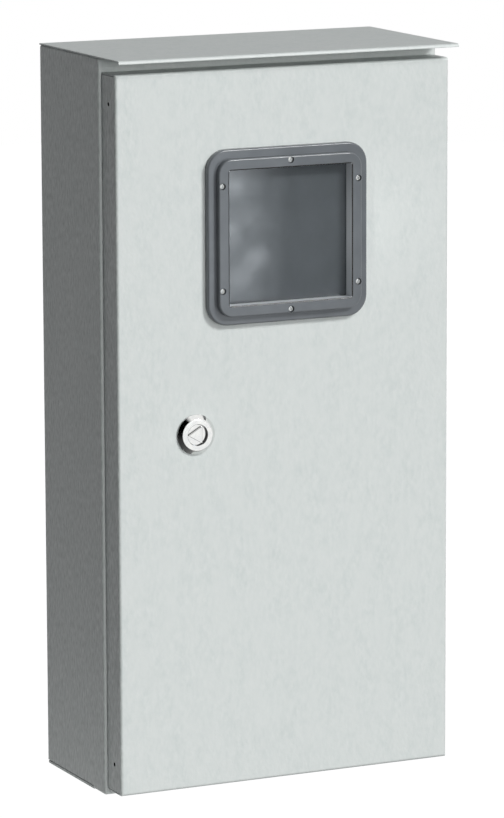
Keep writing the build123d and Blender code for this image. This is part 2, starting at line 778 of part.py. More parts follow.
with BuildPart() as window_seal:
    with BuildSketch(Plane.XZ.offset(door_face_out)):
        with Locations((0, window_middle)):
            RectangleRounded(
                bezel_size - 2 * seal_inset, bezel_size - 2 * seal_inset, bezel_corner - seal_inset
            )
            RectangleRounded(
                opening_size + 2 * seal_inset,
                opening_size + 2 * seal_inset,
                opening_corner,
                mode=Mode.SUBTRACT,
            )
        with Locations(*window_screw_points):
            Circle(m3_radius + hole_clearance / 2, mode=Mode.SUBTRACT)
    extrude(amount=seal_thickness)
window_seal.part.label = "window_seal"
export_step(window_seal.part, "parts/window_seal.step")

with BuildPart() as window_pane:
    with BuildSketch(Plane.XZ.offset(pane_back_out)):
        with Locations((0, window_middle)):
            RectangleRounded(pane_size, pane_size, opening_corner)
    extrude(amount=pane_thickness)
window_pane.part.label = "window_pane"
export_step(window_pane.part, "parts/window_pane.step")

with BuildPart() as window_clamp_frame:
    with BuildSketch(Plane.XZ.offset(clamp_back_out)):
        with Locations((0, window_middle)):
            RectangleRounded(clamp_size, clamp_size, clamp_corner)
            RectangleRounded(opening_size, opening_size, opening_corner, mode=Mode.SUBTRACT)
        with Locations(*window_screw_points):
            Circle(m3_radius + hole_clearance / 2, mode=Mode.SUBTRACT)
    extrude(amount=door_inside_out - clamp_back_out)
    with BuildSketch(Plane.XZ.offset(pane_back_out)):
        with Locations((0, window_middle)):
            RectangleRounded(window_cut_size, window_cut_size, opening_corner)
    extrude(amount=pane_thickness, mode=Mode.SUBTRACT)
window_clamp_frame.part.label = "window_clamp_frame"
export_step(window_clamp_frame.part, "parts/window_clamp_frame.step")

window_screw = pan_screw(
    m3_radius,
    window_screw_seat_out - clamp_back_out + m3_nut_height + screw_spare,
    window_screw_head_radius,
    window_screw_head_height,
)
with BuildPart(Plane.XZ.offset(window_screw_seat_out)) as window_screws:
    with Locations(*window_screw_points):
        add(window_screw)
window_screws.part.label = "window_screws"
export_step(window_screws.part, "parts/window_screws.step")

with BuildPart(Plane.XZ.offset(clamp_back_out - m3_nut_height)) as window_nuts:
    with Locations(*window_screw_points):
        add(m3_nut)
window_nuts.part.label = "window_nuts"
export_step(window_nuts.part, "parts/window_nuts.step")

# Quarter-turn lock
with BuildPart() as lock_housing:
    with BuildSketch(Plane.XZ.offset(lock_back_out)):
        with Locations((lock_x, door_middle)):
            Circle(lock_head_radius)
    with BuildSketch(Plane.XZ.offset(lock_front_out)):
        with Locations((lock_x, door_middle)):
            Circle(lock_face_radius)
    loft()
    fillet(lock_housing.faces().sort_by(Axis.Y)[0].edges(), lock_head_edge)
    with BuildSketch(Plane.XZ.offset(lock_back_out)):
        with Locations((lock_x, door_middle)):
            Circle(lock_barrel_radius)
            Rectangle(2 * lock_head_radius, lock_barrel_flats, mode=Mode.INTERSECT)
    extrude(amount=lock_barrel_end_out - lock_back_out)
    with BuildSketch(Plane.XZ.offset(recess_floor_out)):
        with Locations((lock_x, door_middle)):
            Circle(lock_recess_radius)
    extrude(amount=lock_recess_depth, mode=Mode.SUBTRACT)
    with BuildSketch(Plane.XZ.offset(lock_barrel_end_out)):
        with Locations((lock_x, door_middle)):
            Circle(spindle_radius + running_clearance)
    extrude(amount=recess_floor_out - lock_barrel_end_out, mode=Mode.SUBTRACT)
lock_housing.part.label = "lock_housing"
export_step(lock_housing.part, "parts/lock_housing.step")

lock_seal_ring = ring(lock_barrel_radius + lock_barrel_clearance, lock_seal_radius, lock_seal_thickness)
with BuildPart(Plane.XZ.offset(door_face_out)) as lock_seal:
    with Locations((lock_x, door_middle)):
        add(lock_seal_ring)
lock_seal.part.label = "lock_seal"
export_step(lock_seal.part, "parts/lock_seal.step")

lock_nut_blank = hex_nut(lock_barrel_radius, lock_nut_flats, lock_nut_height)
with BuildPart(Plane.XZ.offset(door_inside_out - lock_nut_height)) as lock_nut:
    with Locations((lock_x, door_middle)):
        add(lock_nut_blank)
lock_nut.part.label = "lock_nut"
export_step(lock_nut.part, "parts/lock_nut.step")

with BuildPart() as lock_insert:
    with BuildSketch(Plane.XZ.offset(recess_floor_out)):
        with Locations((lock_x, door_middle)):
            Circle(insert_disc_radius)
    extrude(amount=insert_disc_height)
    with BuildSketch(Plane.XZ.offset(recess_floor_out + insert_disc_height)) as insert_section:
        with Locations((lock_x, door_middle)):
            RegularPolygon(insert_post_radius, 3, rotation=insert_tip_angle)
        fillet(insert_section.vertices(), insert_post_corner)
    extrude(amount=lock_recess_depth - insert_disc_height)
    with BuildSketch(Plane.XZ.offset(cam_front_out)):
        with Locations((lock_x, door_middle)):
            Circle(spindle_radius)
    extrude(amount=recess_floor_out - cam_front_out)
    with BuildSketch(Plane.XZ.offset(cam_back_out)):
        with Locations((lock_x, door_middle)):
            Rectangle(spindle_square, spindle_square)
    extrude(amount=cam_thickness)
    with BuildSketch(Plane.XZ.offset(cam_back_out)):
        with Locations((lock_x, door_middle)):
            Circle(m5_radius + thread_clearance)
    extrude(amount=cam_screw_length + screw_spare, mode=Mode.SUBTRACT)
lock_insert.part.label = "lock_insert"
export_step(lock_insert.part, "parts/lock_insert.step")

with BuildPart() as lock_cam:
    with BuildSketch(Plane.XZ.offset(cam_back_out)) as cam_outline:
        with Locations((lock_x, door_middle)):
            Rectangle(cam_width, cam_length, align=(Align.CENTER, Align.MAX))
        fillet(cam_outline.vertices().group_by(Axis.Y)[0], cam_corner)
        with Locations((lock_x, door_middle)):
            Circle(cam_hub_radius)
            Rectangle(cam_square_hole, cam_square_hole, mode=Mode.SUBTRACT)
    extrude(amount=cam_thickness)
lock_cam.part.label = "lock_cam"
export_step(lock_cam.part, "parts/lock_cam.step")

cam_washer_ring = ring(m5_radius + thread_clearance, cam_washer_radius, cam_washer_height)
with BuildPart(Plane.XZ.offset(cam_back_out - cam_washer_height)) as cam_washer:
    with Locations((lock_x, door_middle)):
        add(cam_washer_ring)
cam_washer.part.label = "cam_washer"
export_step(cam_washer.part, "parts/cam_washer.step")

cam_bolt = hex_screw(m5_radius, cam_screw_length, cam_screw_flats, cam_screw_head_height)
cam_bolt_out = cam_back_out - cam_washer_height
behind_washer = Plane(origin=(0, -cam_bolt_out, 0), x_dir=(1, 0, 0), z_dir=(0, 1, 0))
with BuildPart(behind_washer) as cam_screw:
    with Locations((lock_x, -door_middle)):
        add(cam_bolt)
cam_screw.part.label = "cam_screw"
export_step(cam_screw.part, "parts/cam_screw.step")
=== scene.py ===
import json
import math
import bpy
import bmesh
from mathutils import Matrix, Vector


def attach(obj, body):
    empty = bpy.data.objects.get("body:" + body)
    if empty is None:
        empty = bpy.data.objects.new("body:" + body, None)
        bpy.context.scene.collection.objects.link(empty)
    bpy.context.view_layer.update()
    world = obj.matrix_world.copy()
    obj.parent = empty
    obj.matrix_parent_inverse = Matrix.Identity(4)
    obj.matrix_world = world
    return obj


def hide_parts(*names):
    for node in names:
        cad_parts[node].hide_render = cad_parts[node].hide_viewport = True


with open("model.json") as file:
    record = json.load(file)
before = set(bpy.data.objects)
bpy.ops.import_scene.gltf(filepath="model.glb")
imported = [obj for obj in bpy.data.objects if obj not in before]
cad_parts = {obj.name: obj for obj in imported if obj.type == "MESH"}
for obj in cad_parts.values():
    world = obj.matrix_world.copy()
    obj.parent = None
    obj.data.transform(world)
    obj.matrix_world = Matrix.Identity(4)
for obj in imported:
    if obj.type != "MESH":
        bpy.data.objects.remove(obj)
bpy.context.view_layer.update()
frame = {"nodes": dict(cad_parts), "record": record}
mm = 0.001
joinGap = 1e-6  # vertices that lie closer than this, in metres, are joined
bodyOf = {node: body for body, nodes in frame["record"]["behaviour"]["bodies"].items() for node in nodes}
slotOf = {part["node"]: part["material_slot"] for part in frame["record"]["subparts"]}
print("frame loaded")


# Helpers

def linearColour(hexText):
    # sRGB hex to the linear values that the sockets take
    parts = [int(hexText[i:i + 2], 16) / 255 for i in (1, 3, 5)]
    return tuple(p / 12.92 if p <= 0.04045 else ((p + 0.055) / 1.055) ** 2.4 for p in parts) + (1.0,)


def addNode(tree, kind, inputs=None, **settings):
    # an input that is given a socket is linked to it, a hex colour is made linear, any other is set
    node = tree.nodes.new(kind)
    for key, value in settings.items():
        setattr(node, key, value)
    for key, value in (inputs or {}).items():
        if isinstance(value, bpy.types.NodeSocket):
            tree.links.new(value, node.inputs[key])
        else:
            node.inputs[key].default_value = linearColour(value) if isinstance(value, str) else value
    return node


def startMaterial(name, values):
    material = bpy.data.materials.new(name)
    material.use_nodes = True
    tree = material.node_tree
    for key, value in values.items():
        tree.nodes["Principled BSDF"].inputs[key].default_value = value
    return material, tree, addNode(tree, "ShaderNodeTexCoord").outputs["Object"]


def grain(tree, place, cell, low=0.0, high=1.0, detail=2.0):
    # a noise whose cells measure (x, y, z) mm, or the same each way, brought to the range low to high
    cell = cell if isinstance(cell, tuple) else (cell, cell, cell)
    squeezed = addNode(tree, "ShaderNodeMapping", {
        "Vector": place, "Scale": [1 / (size * mm) for size in cell],
    })
    noise = addNode(tree, "ShaderNodeTexNoise", {
        "Vector": squeezed.outputs[0], "Scale": 1.0, "Detail": detail, "Roughness": 0.55,
    })
    return addNode(tree, "ShaderNodeMapRange", {
        "Value": noise.outputs[0], "From Min": 0.3, "From Max": 0.7, "To Min": low, "To Max": high,
    }).outputs[0]


def finishMaterial(material, share, first, second, roughness, reliefs):
    # share blends the colours; a relief is a height field and its depth in metres, the finest first
    tree = material.node_tree
    shader = tree.nodes["Principled BSDF"]
    blend = addNode(tree, "ShaderNodeMix", {0: share, 6: first, 7: second}, data_type="RGBA")
    tree.links.new(blend.outputs[2], shader.inputs["Base Color"])
    tree.links.new(roughness, shader.inputs["Roughness"])
    normal = None
    for height, depth in reliefs:
        bump = addNode(tree, "ShaderNodeBump", {"Height": height, "Distance": depth, "Strength": 1.0})
        if normal:
            tree.links.new(normal, bump.inputs["Normal"])
        normal = bump.outputs[0]
    tree.links.new(normal, shader.inputs["Normal"])
    return material


def addObject(name, data):
    holder = bpy.data.objects.new(name, data)
    bpy.context.scene.collection.objects.link(holder)
    return holder


def addShape(shape, name="shape"):
    # the bmesh becomes the mesh of a new object
    mesh = bpy.data.meshes.new(name)
    shape.to_mesh(mesh)
    shape.free()
    return addObject(name, mesh)


def openMesh(mesh):
    # a bmesh of the mesh, with its double vertices joined
    shape = bmesh.new()
    shape.from_mesh(mesh)
    bmesh.ops.remove_doubles(shape, verts=shape.verts, dist=joinGap)
    return shape


def roundedLoop(width, height, corner, out, centre, steps=8):
    # a rounded rectangle in mm at a distance from the wall, seen from the room
    points = []
    for quarter, (sideX, sideZ) in enumerate(((1, 1), (-1, 1), (-1, -1), (1, -1))):
        for step in range(steps + 1):
            angle = math.radians(90 * quarter + 90 * step / steps)
            x = sideX * (width / 2 - corner) + corner * math.cos(angle) + centre[0]
            z = sideZ * (height / 2 - corner) + corner * math.sin(angle) + centre[1]
            points.append(Vector((x * mm, -out * mm, z * mm)))
    return points


def loftLoops(loops, closed=False):
    # closed joins the last loop to the first, otherwise both ends get a face
    shape = bmesh.new()
    rings = [[shape.verts.new(point) for point in loop] for loop in loops]
    pairs = list(zip(rings, rings[1:])) + ([(rings[-1], rings[0])] if closed else [])
    for first, second in pairs:
        for i in range(len(first)):
            j = (i + 1) % len(first)
            shape.faces.new((first[i], first[j], second[j], second[i]))
    if not closed:
        shape.faces.new(rings[0])
        shape.faces.new(rings[-1])
    bmesh.ops.remove_doubles(shape, verts=shape.verts, dist=2 * joinGap)
    bmesh.ops.recalc_face_normals(shape, faces=shape.faces)
    return addShape(shape)


def prism(outline, start, end, alongX=False):
    # an outline of (x, z) in mm drawn out along Y, or of (y, z) along X
    return loftLoops([[Vector((c, a, b) if alongX else (a, c, b)) * mm for a, b in outline]
                      for c in (start, end)])


def circle(radius, centre, steps):
    turn = 2 * math.pi / steps
    return [(centre[0] + radius * math.cos(i * turn), centre[1] + radius * math.sin(i * turn))
            for i in range(steps)]


def applyModifier(piece, kind, settings, inputs=None):
    # inputs are values for the inputs of a node tree, by their identifiers
    modifier = piece.modifiers.new("step", kind)
    for key, value in settings.items():
        setattr(modifier, key, value)
    for key, value in (inputs or {}).items():
        modifier[key] = value
    bpy.context.view_layer.update()
    evaluated = piece.evaluated_get(bpy.context.evaluated_depsgraph_get())
    mesh = bpy.data.meshes.new_from_object(evaluated)
    piece.modifiers.clear()
    piece.data = mesh


def cutAway(piece, cutters):
    shape = bmesh.new()
    for cutter in cutters:
        shape.from_mesh(cutter.data)
        bpy.data.objects.remove(cutter)
    tool = addShape(shape)
    applyModifier(piece, "BOOLEAN", {
        "operation": "DIFFERENCE", "solver": "EXACT", "use_self": True, "object": tool,
    })
    bpy.data.objects.remove(tool)
    return piece


def finishPiece(piece, node, edge=0.0, angle=35):
    # the piece takes the CAD node's place, body and the finish of its slot; its sharp edges are broken by
    # edge mm
    shape = openMesh(piece.data)
    bmesh.ops.dissolve_degenerate(shape, edges=shape.edges, dist=joinGap)
    shape.to_mesh(piece.data)
    shape.free()
    piece.data.shade_smooth()
    if edge:
        applyModifier(piece, "BEVEL", {
            "width": edge * mm, "segments": 2, "limit_method": "ANGLE", "angle_limit": math.radians(angle),
        })
    piece.data.set_sharp_from_angle(angle=math.radians(angle))
    applyModifier(piece, "WEIGHTED_NORMAL", {"keep_sharp": True})
    piece.data.materials.clear()
    piece.data.materials.append(finishes[slotOf[node]])
    words = node.split("_")
    piece.name = words[0] + "".join(word.capitalize() for word in words[1:])
    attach(piece, bodyOf[node])
    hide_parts(node)
    return piece


def dressCadPiece(node, edge):
    # the CAD shape with its triangles joined to flat faces and its edges broken
    shape = openMesh(frame["nodes"][node].data)
    bmesh.ops.dissolve_limit(shape, angle_limit=math.radians(0.5), verts=shape.verts, edges=shape.edges)
    return finishPiece(addShape(shape), node, edge)


def markFaces(piece, name, test):
    # a face attribute of 1 where the test of the face's middle (mm) and normal holds, for the material
    marks = piece.data.attributes.new(name, "FLOAT", "FACE")
    for face, mark in zip(piece.data.polygons, marks.data):
        mark.value = float(test(face.center / mm, face.normal))


def solidBoxes(node):
    # lowest and highest corner of each solid in a CAD node, in metres
    shape = openMesh(frame["nodes"][node].data)
    left = set(shape.verts)
    boxes = []
    while left:
        island = [left.pop()]
        # the list grows while it is gone through, until no neighbour is left
        for vert in island:
            fresh = {other for edge in vert.link_edges for other in edge.verts} & left
            left -= fresh
            island += fresh
        boxes.append([Vector([pick(vert.co[i] for vert in island) for i in range(3)])
                      for pick in (min, max)])
    shape.free()
    return sorted(boxes, key=lambda corners: tuple(round(c, 5) for c in corners[0]))


# Materials

def makePaint():
    # polyester powder coat, light grey, cured on steel: soft orange peel and fine grit, darker streaks on
    # the faces that look sideways (grain, and partly painted shade of the sides), and the walls of the
    # flange holes painted near black as painted shade
    material, tree, place = startMaterial("lightGreyPowderCoat", {"Metallic": 0.0, "IOR": 1.5})
    light = addNode(tree, "ShaderNodeMix", {
        0: grain(tree, place, (3.6, 3.6, 7.0)), 6: "#cdd3d1", 7: "#d8dcda",
    }, data_type="RGBA").outputs[2]
    pale = addNode(tree, "ShaderNodeMix", {
        0: grain(tree, place, (16.0, 16.0, 34.0), 0.0, 0.8), 6: light, 7: "#d7dbd9",
    }, data_type="RGBA").outputs[2]
    normal = addNode(tree, "ShaderNodeTexCoord").outputs["Normal"]
    sideways = addNode(tree, "ShaderNodeSeparateXYZ", {"Vector": normal}).outputs["X"]
    size = addNode(tree, "ShaderNodeMath", {0: sideways}, operation="ABSOLUTE")
    # streaks only on faces that look sideways: grain, and also painted shade that makes the sides darker
    sideStreaksAndShade = addNode(tree, "ShaderNodeMath", {
        0: size.outputs[0], 1: grain(tree, place, (2.0, 2.0, 6.0), 0.0, 0.6),
    }, operation="MULTIPLY")
    rolled = addNode(tree, "ShaderNodeMix", {
        0: sideStreaksAndShade.outputs[0], 6: pale, 7: "#959b98",
    }, data_type="RGBA").outputs[2]
    # the walls of the flange holes are painted near black: painted shade for the dark inside of the holes
    holeShade = addNode(tree, "ShaderNodeAttribute", attribute_name="holeWallPaintedShade").outputs["Fac"]
    rough = grain(tree, place, (5.0, 5.0, 9.0), 0.42, 0.52)
    grit = grain(tree, place, 0.7, detail=1.0)
    peel = grain(tree, place, (2.8, 2.8, 3.6), detail=1.0)
    return finishMaterial(material, holeShade, rolled, "#1b1c1d", rough, [(grit, 6e-6), (peel, 60e-6)])


def makeGalvanised():
    # hot-dip galvanised sheet: spangles of about 7 mm that each catch the light another way
    material, tree, place = startMaterial("galvanisedSheet", {"Metallic": 1.0})
    bent = addNode(tree, "ShaderNodeMapping", {"Vector": place, "Scale": [1 / (7 * mm)] * 3})
    wobble = addNode(tree, "ShaderNodeTexNoise", {"Vector": bent.outputs[0], "Scale": 2.2, "Detail": 2.0})
    shifted = addNode(tree, "ShaderNodeVectorMath", {
        0: wobble.outputs["Color"], 1: (0.5, 0.5, 0.5), 2: bent.outputs[0],
    }, operation="MULTIPLY_ADD")
    spangle = addNode(tree, "ShaderNodeTexVoronoi", {"Vector": shifted.outputs[0], "Scale": 1.0})
    tone = addNode(tree, "ShaderNodeSeparateColor", {"Color": spangle.outputs["Color"]})
    rough = addNode(tree, "ShaderNodeMapRange", {
        "Value": tone.outputs[1], "To Min": 0.34, "To Max": 0.46,
    }).outputs[0]
    fine = grain(tree, place, 1.2)
    return finishMaterial(material, tone.outputs[0], "#adb1b4", "#c3c6c8", rough, [(fine, 6e-6)])


def makeChrome(centre):
    # bright chrome on a zinc die casting: polished in the lathe, with a faint haze; the steep walls of the
    # recess and the foot of the post are painted dark grey as painted shade
    material, tree, place = startMaterial("brightChromePlate", {"Metallic": 1.0})
    rough = grain(tree, place, 3.0, 0.05, 0.11)
    middle = addNode(tree, "ShaderNodeMapping", {
        "Vector": place, "Location": (-centre[0] * mm, 0.0, -centre[1] * mm),
    })
    flat = addNode(tree, "ShaderNodeVectorMath", {
        0: middle.outputs[0], 1: (1.0, 0.0, 1.0),
    }, operation="MULTIPLY")
    reach = addNode(tree, "ShaderNodeVectorMath", {0: flat.outputs[0]}, operation="LENGTH")
    # polishing rings, drawn 0.5 mm apart because real ones are too fine to show
    turns = addNode(tree, "ShaderNodeMath", {
        0: reach.outputs["Value"], 1: 2 * math.pi / (0.5 * mm),
    }, operation="MULTIPLY")
    rings = addNode(tree, "ShaderNodeMath", {0: turns.outputs[0]}, operation="SINE").outputs[0]
    bright = addNode(tree, "ShaderNodeMix", {
        0: grain(tree, place, 4.0), 6: "#e2e3e3", 7: "#efefec",
    }, data_type="RGBA").outputs[2]
    # the mark for the walls that are painted dark grey as painted shade
    wallShade = addNode(tree, "ShaderNodeAttribute", attribute_name="paintedShadeWall").outputs["Fac"]
    return finishMaterial(material, wallShade, bright, "#4a4a4b", rough, [(rings, 0.4e-6)])


def makeFoam():
    # foamed polyurethane gasket: matt dark grey skin with open pores under a millimetre, painted darker in
    # their hollows as painted shade
    material, tree, place = startMaterial("foamedPolyurethane", {"Metallic": 0.0, "IOR": 1.45})
    pores = addNode(tree, "ShaderNodeTexVoronoi", {"Vector": place, "Scale": 1 / (0.9 * mm)})
    poreDepthAndShade = addNode(tree, "ShaderNodeMapRange", {
        "Value": pores.outputs["Distance"], "From Min": 0.1, "From Max": 0.5,
    }).outputs[0]
    rough = grain(tree, place, 6.0, 0.82, 0.95)
    return finishMaterial(material, poreDepthAndShade, "#1d1d1e", "#3a3a3b", rough, [(poreDepthAndShade, 60e-6)])


def makeBezelPlastic():
    # injection-moulded ABS, mid grey and glossy: slight sink waves and a fine mould grain; the walls of the
    # opening are rougher and painted pale as painted light, and a near-black line round their front edge is
    # painted shade
    material, tree, place = startMaterial("glossyGreyAbs", {"Metallic": 0.0, "IOR": 1.53})
    grey = addNode(tree, "ShaderNodeMix", {
        0: grain(tree, place, 26.0), 6: "#606468", 7: "#696d71",
    }, data_type="RGBA").outputs[2]
    # the walls of the opening: painted pale as painted light, and rougher
    wall = addNode(tree, "ShaderNodeAttribute", attribute_name="openingWallPaintedLightAndDull").outputs["Fac"]
    # a near-black line round the front edge of the opening, painted shade
    edge = addNode(tree, "ShaderNodeAttribute", attribute_name="openingEdge").outputs["Fac"]
    wallPaintedLight = addNode(tree, "ShaderNodeMix", {0: wall, 6: grey, 7: "#d2d6d9"}, data_type="RGBA").outputs[2]
    shine = grain(tree, place, 4.0, 0.17, 0.26)
    rough = addNode(tree, "ShaderNodeMath", {0: wall, 1: 0.3, 2: shine}, operation="MULTIPLY_ADD")
    fine = grain(tree, place, 0.6)
    waves = grain(tree, place, 9.0, detail=1.0)
    reliefs = [(fine, 2e-6), (waves, 12e-6)]
    return finishMaterial(material, edge, wallPaintedLight, "#141516", rough.outputs[0], reliefs)


def makeTwoTone(name, values, tones, mottle, rough, relief, depth):
    # a finish of two tones in patches over a fine relief; mottle, rough and relief say what grain takes
    material, tree, place = startMaterial(name, values)
    patches, roughness, height = (grain(tree, place, *sizes) for sizes in (mottle, rough, relief))
    return finishMaterial(material, patches, *tones, roughness, [(height, depth)])


lockCentre = (-80.1, -3.7)
finishes = {
    "painted_steel": makePaint(),
    "galvanised_steel": makeGalvanised(),
    "chrome": makeChrome(lockCentre),
    "foam": makeFoam(),
    "bezel_plastic": makeBezelPlastic(),
    # bright zinc plate on steel: a cool satin metal with a faint mottle
    "zinc_fasteners": makeTwoTone(
        "brightZincPlate", {"Metallic": 1.0}, ("#b2b5b7", "#cdcdc8"), (1.6,),
        (0.8, 0.26, 0.40), (0.5,), 4e-6),
    # black EPDM sheet, calendered: satin with a little chalky bloom
    "rubber": makeTwoTone(
        "blackEpdmRubber", {"Metallic": 0.0, "IOR": 1.52}, ("#161616", "#2a2a2b"), (7.0,),
        (2.0, 0.55, 0.72), (0.6,), 12e-6),
    # glass-filled nylon, black and spark-eroded: matt with short fibre streaks
    "clamp_plastic": makeTwoTone(
        "blackFilledNylon", {"Metallic": 0.0, "IOR": 1.53}, ("#202022", "#303133"), ((0.8, 3.0, 4.0),),
        (1.5, 0.45, 0.62), (0.5,), 14e-6),
    # smoked polycarbonate sheet, extruded: slightly milky, so that light spreads inside it, with
    # a slow waviness and a film of dust
    "pane": makeTwoTone(
        "smokedPolycarbonate",
        {"Metallic": 0.0, "IOR": 1.585, "Transmission Weight": 0.2, "Subsurface Weight": 1.0,
         "Subsurface Radius": (1.0, 1.0, 1.0), "Subsurface Scale": 12.0 * mm},
        ("#565b5f", "#5f6468"), ((30.0, 30.0, 45.0), 0.0, 1.0, 3.0), (12.0, 0.02, 0.05),
        ((22.0, 22.0, 30.0), 0.0, 1.0, 1.0), 20e-6),
}
finishes["pane"].node_tree.nodes["Principled BSDF"].subsurface_method = "BURLEY"
print("materials made")


# Sheets and small pieces that keep their CAD shape, with their real bends, and the width in mm
# that their edges are broken by

cadPieces = {
    "body_shell": 0.2, "gland_plate": 0.2, "gland_gasket": 0.15, "mounting_plate": 0.25,
    "hinge_body_leaves": 0.15, "hinge_door_leaves": 0.15, "window_seal": 0.15, "window_clamp_frame": 0.3,
    "lock_seal": 0.15, "lock_cam": 0.2, "hinge_pins": 0.3, "cam_screw": 0.15,
}
for node, edge in cadPieces.items():
    dressCadPiece(node, edge)
print("body shell and sheet pieces made")


# Roof: a sheet bent down at its front edge

roofSizes = {
    "top": 300.0, "sheet": 1.2, "width": 300.0, "front": 159.4, "bend": 2.5, "lip": 2.8, "bendSteps": 8,
    "edge": 0.2,
}


def makeRoof(s):
    centre = (s["bend"] - s["front"], s["top"] - s["bend"])
    turns = [math.radians(90 + 90 * step / s["bendSteps"]) for step in range(s["bendSteps"] + 1)]

    def arc(radius):
        return [(centre[0] + radius * math.cos(turn), centre[1] + radius * math.sin(turn)) for turn in turns]

    outline = [(0.0, s["top"] - s["sheet"]), (0.0, s["top"])] + arc(s["bend"])
    outline += [(-s["front"], s["top"] - s["lip"]), (s["sheet"] - s["front"], s["top"] - s["lip"])]
    outline += reversed(arc(s["bend"] - s["sheet"]))
    return prism(outline, -s["width"] / 2, s["width"] / 2, alongX=True)


finishPiece(makeRoof(roofSizes), "roof_sheet", roofSizes["edge"])
print("roof made")


# Door: a folded pan with open corner seams

doorSizes = {
    "width": 295.2, "low": -295.2, "high": 287.8, "rear": 120.5, "face": 146.4, "sheet": 1.2,
    "bend": 2.5, "bendSteps": 8, "corner": 1.0, "cornerDrawIn": 0.2, "insideCorner": 0.3, "seam": 0.5,
    "seamFromRear": 2.0, "flangeHole": 1.6, "flangeHoleOut": 133.1, "holeHeights": (-271.2, 263.8),
    "lockHole": 10.2, "lockFlats": 18.4, "windowCut": 115.0, "windowCorner": 1.5, "screwHole": 1.7,
    "edge": 0.15,
}
windowMiddle = (0.0, 153.9)


def makeDoor(s):
    middle = (0, (s["low"] + s["high"]) / 2)
    height = s["high"] - s["low"]

    def skin(inset, bend, corner, drawIn):
        # one side of the sheet, from its rear edge round the bend to the face
        places = [(inset, s["rear"], corner)]
        for step in range(s["bendSteps"] + 1):
            turn = math.radians(90 * step / s["bendSteps"])
            more = bend * (1 - math.cos(turn))
            out = s["face"] - inset - bend * (1 - math.sin(turn))
            places.append((inset + more, out, corner - drawIn * more))
        return [roundedLoop(s["width"] - 2 * gap, height - 2 * gap, radius, out, middle)
                for gap, out, radius in places]

    outside = skin(0, s["bend"], s["corner"], s["cornerDrawIn"])
    inside = skin(s["sheet"], s["bend"] - s["sheet"], s["insideCorner"], 0.0)
    return loftLoops(outside[::-1] + inside)


def windowScrewHoles(radius, start, end):
    holes = []
    for low, high in solidBoxes("window_screws"):
        spot = ((low.x + high.x) / 2 / mm, (low.z + high.z) / 2 / mm)
        holes.append(prism(circle(radius, spot, 20), start, end))
    return holes


def cutDoor(piece, s):
    width = s["width"]
    cutters = []
    for height in (s["high"] - s["sheet"], s["low"] + s["sheet"] + s["seam"]):
        seam = [(-width, height - s["seam"]), (width, height - s["seam"]), (width, height), (-width, height)]
        cutters.append(prism(seam, s["seamFromRear"] - s["rear"], s["bend"] - s["face"]))
    for height in s["holeHeights"]:
        for side in (-1, 1):
            hole = circle(s["flangeHole"], (-s["flangeHoleOut"], height), 24)
            cutters.append(prism(hole, side * width / 2 - 3, side * width / 2 + 3, alongX=True))
    through = (-s["face"] - 2, -s["face"] + 3)
    opening = roundedLoop(s["windowCut"], s["windowCut"], s["windowCorner"], 0, windowMiddle, 6)
    cutters.append(prism([(p.x / mm, p.z / mm) for p in opening], *through))
    cutters += windowScrewHoles(s["screwHole"], *through)
    low, high = (lockCentre[1] + side * s["lockFlats"] / 2 for side in (-1, 1))
    lockHole = [(x, min(max(z, low), high)) for x, z in circle(s["lockHole"], lockCentre, 48)]
    cutters.append(prism(lockHole, *through))
    return cutAway(piece, cutters)


def inFlangeHole(middle, normal):
    spots = [(-doorSizes["flangeHoleOut"], height) for height in doorSizes["holeHeights"]]
    reach = doorSizes["flangeHole"] + 0.15
    return abs(normal.x) < 0.5 and any(math.dist((middle.y, middle.z), spot) < reach for spot in spots)


door = finishPiece(cutDoor(makeDoor(doorSizes), doorSizes), "door_panel", doorSizes["edge"])
# the walls of the flange holes get the mark for their painted shade
markFaces(door, "holeWallPaintedShade", inFlangeHole)
print("door made")


# Window: stepped bezel and pane, lofted round the opening

bezelSizes = {
    "outer": 141.4, "outerCorner": 17.0, "raised": 126.8, "raisedCorner": 12.0, "opening": 108.6,
    "openingCorner": 1.5, "back": 147.4, "step": 152.2, "front": 157.9, "outerEdge": 1.6,
    "raisedEdge": 1.3, "openingEdge": 1.0, "screwHole": 1.7, "pocket": 2.6, "pocketFloor": 154.9,
    "cutFrom": 160.0, "cutTo": 145.0,
}


def makeBezel(s):
    loops = []

    def square(size, corner, out):
        loops.append(roundedLoop(size, size, corner, out, windowMiddle, 10))

    def roundOver(size, corner, edge, out, degrees=(0, 18, 36, 54, 72, 90), way=1):
        # way is 1 for an outer edge and -1 for the edge of an opening
        for turn in map(math.radians, degrees):
            inset = way * edge * (1 - math.cos(turn))
            square(size - 2 * inset, corner - inset, out - edge * (1 - math.sin(turn)))

    square(s["outer"], s["outerCorner"], s["back"])
    roundOver(s["outer"], s["outerCorner"], s["outerEdge"], s["step"])
    square(s["raised"], s["raisedCorner"], s["step"])
    roundOver(s["raised"], s["raisedCorner"], s["raisedEdge"], s["front"])
    roundOver(s["opening"], s["openingCorner"], s["openingEdge"], s["front"], (90, 67.5, 45, 22.5, 0), -1)
    square(s["opening"], s["openingCorner"], s["back"])
    return loftLoops(loops, closed=True)


def fromOpening(place):
    # how far a place lies outside the wall of the opening, in mm
    across = abs(place.x - windowMiddle[0])
    return max(across, abs(place.z - windowMiddle[1])) - bezelSizes["opening"] / 2


def cutBezel(piece, s):
    cutAway(piece, windowScrewHoles(s["screwHole"], -s["cutFrom"], -s["cutTo"]))
    return cutAway(piece, windowScrewHoles(s["pocket"], -s["cutFrom"], -s["pocketFloor"]))


bezel = finishPiece(cutBezel(makeBezel(bezelSizes), bezelSizes), "window_bezel", 0.0, 40)
# the walls of the opening get the mark for their painted light
markFaces(bezel, "openingWallPaintedLightAndDull", lambda middle, normal: fromOpening(middle) < 0.05)
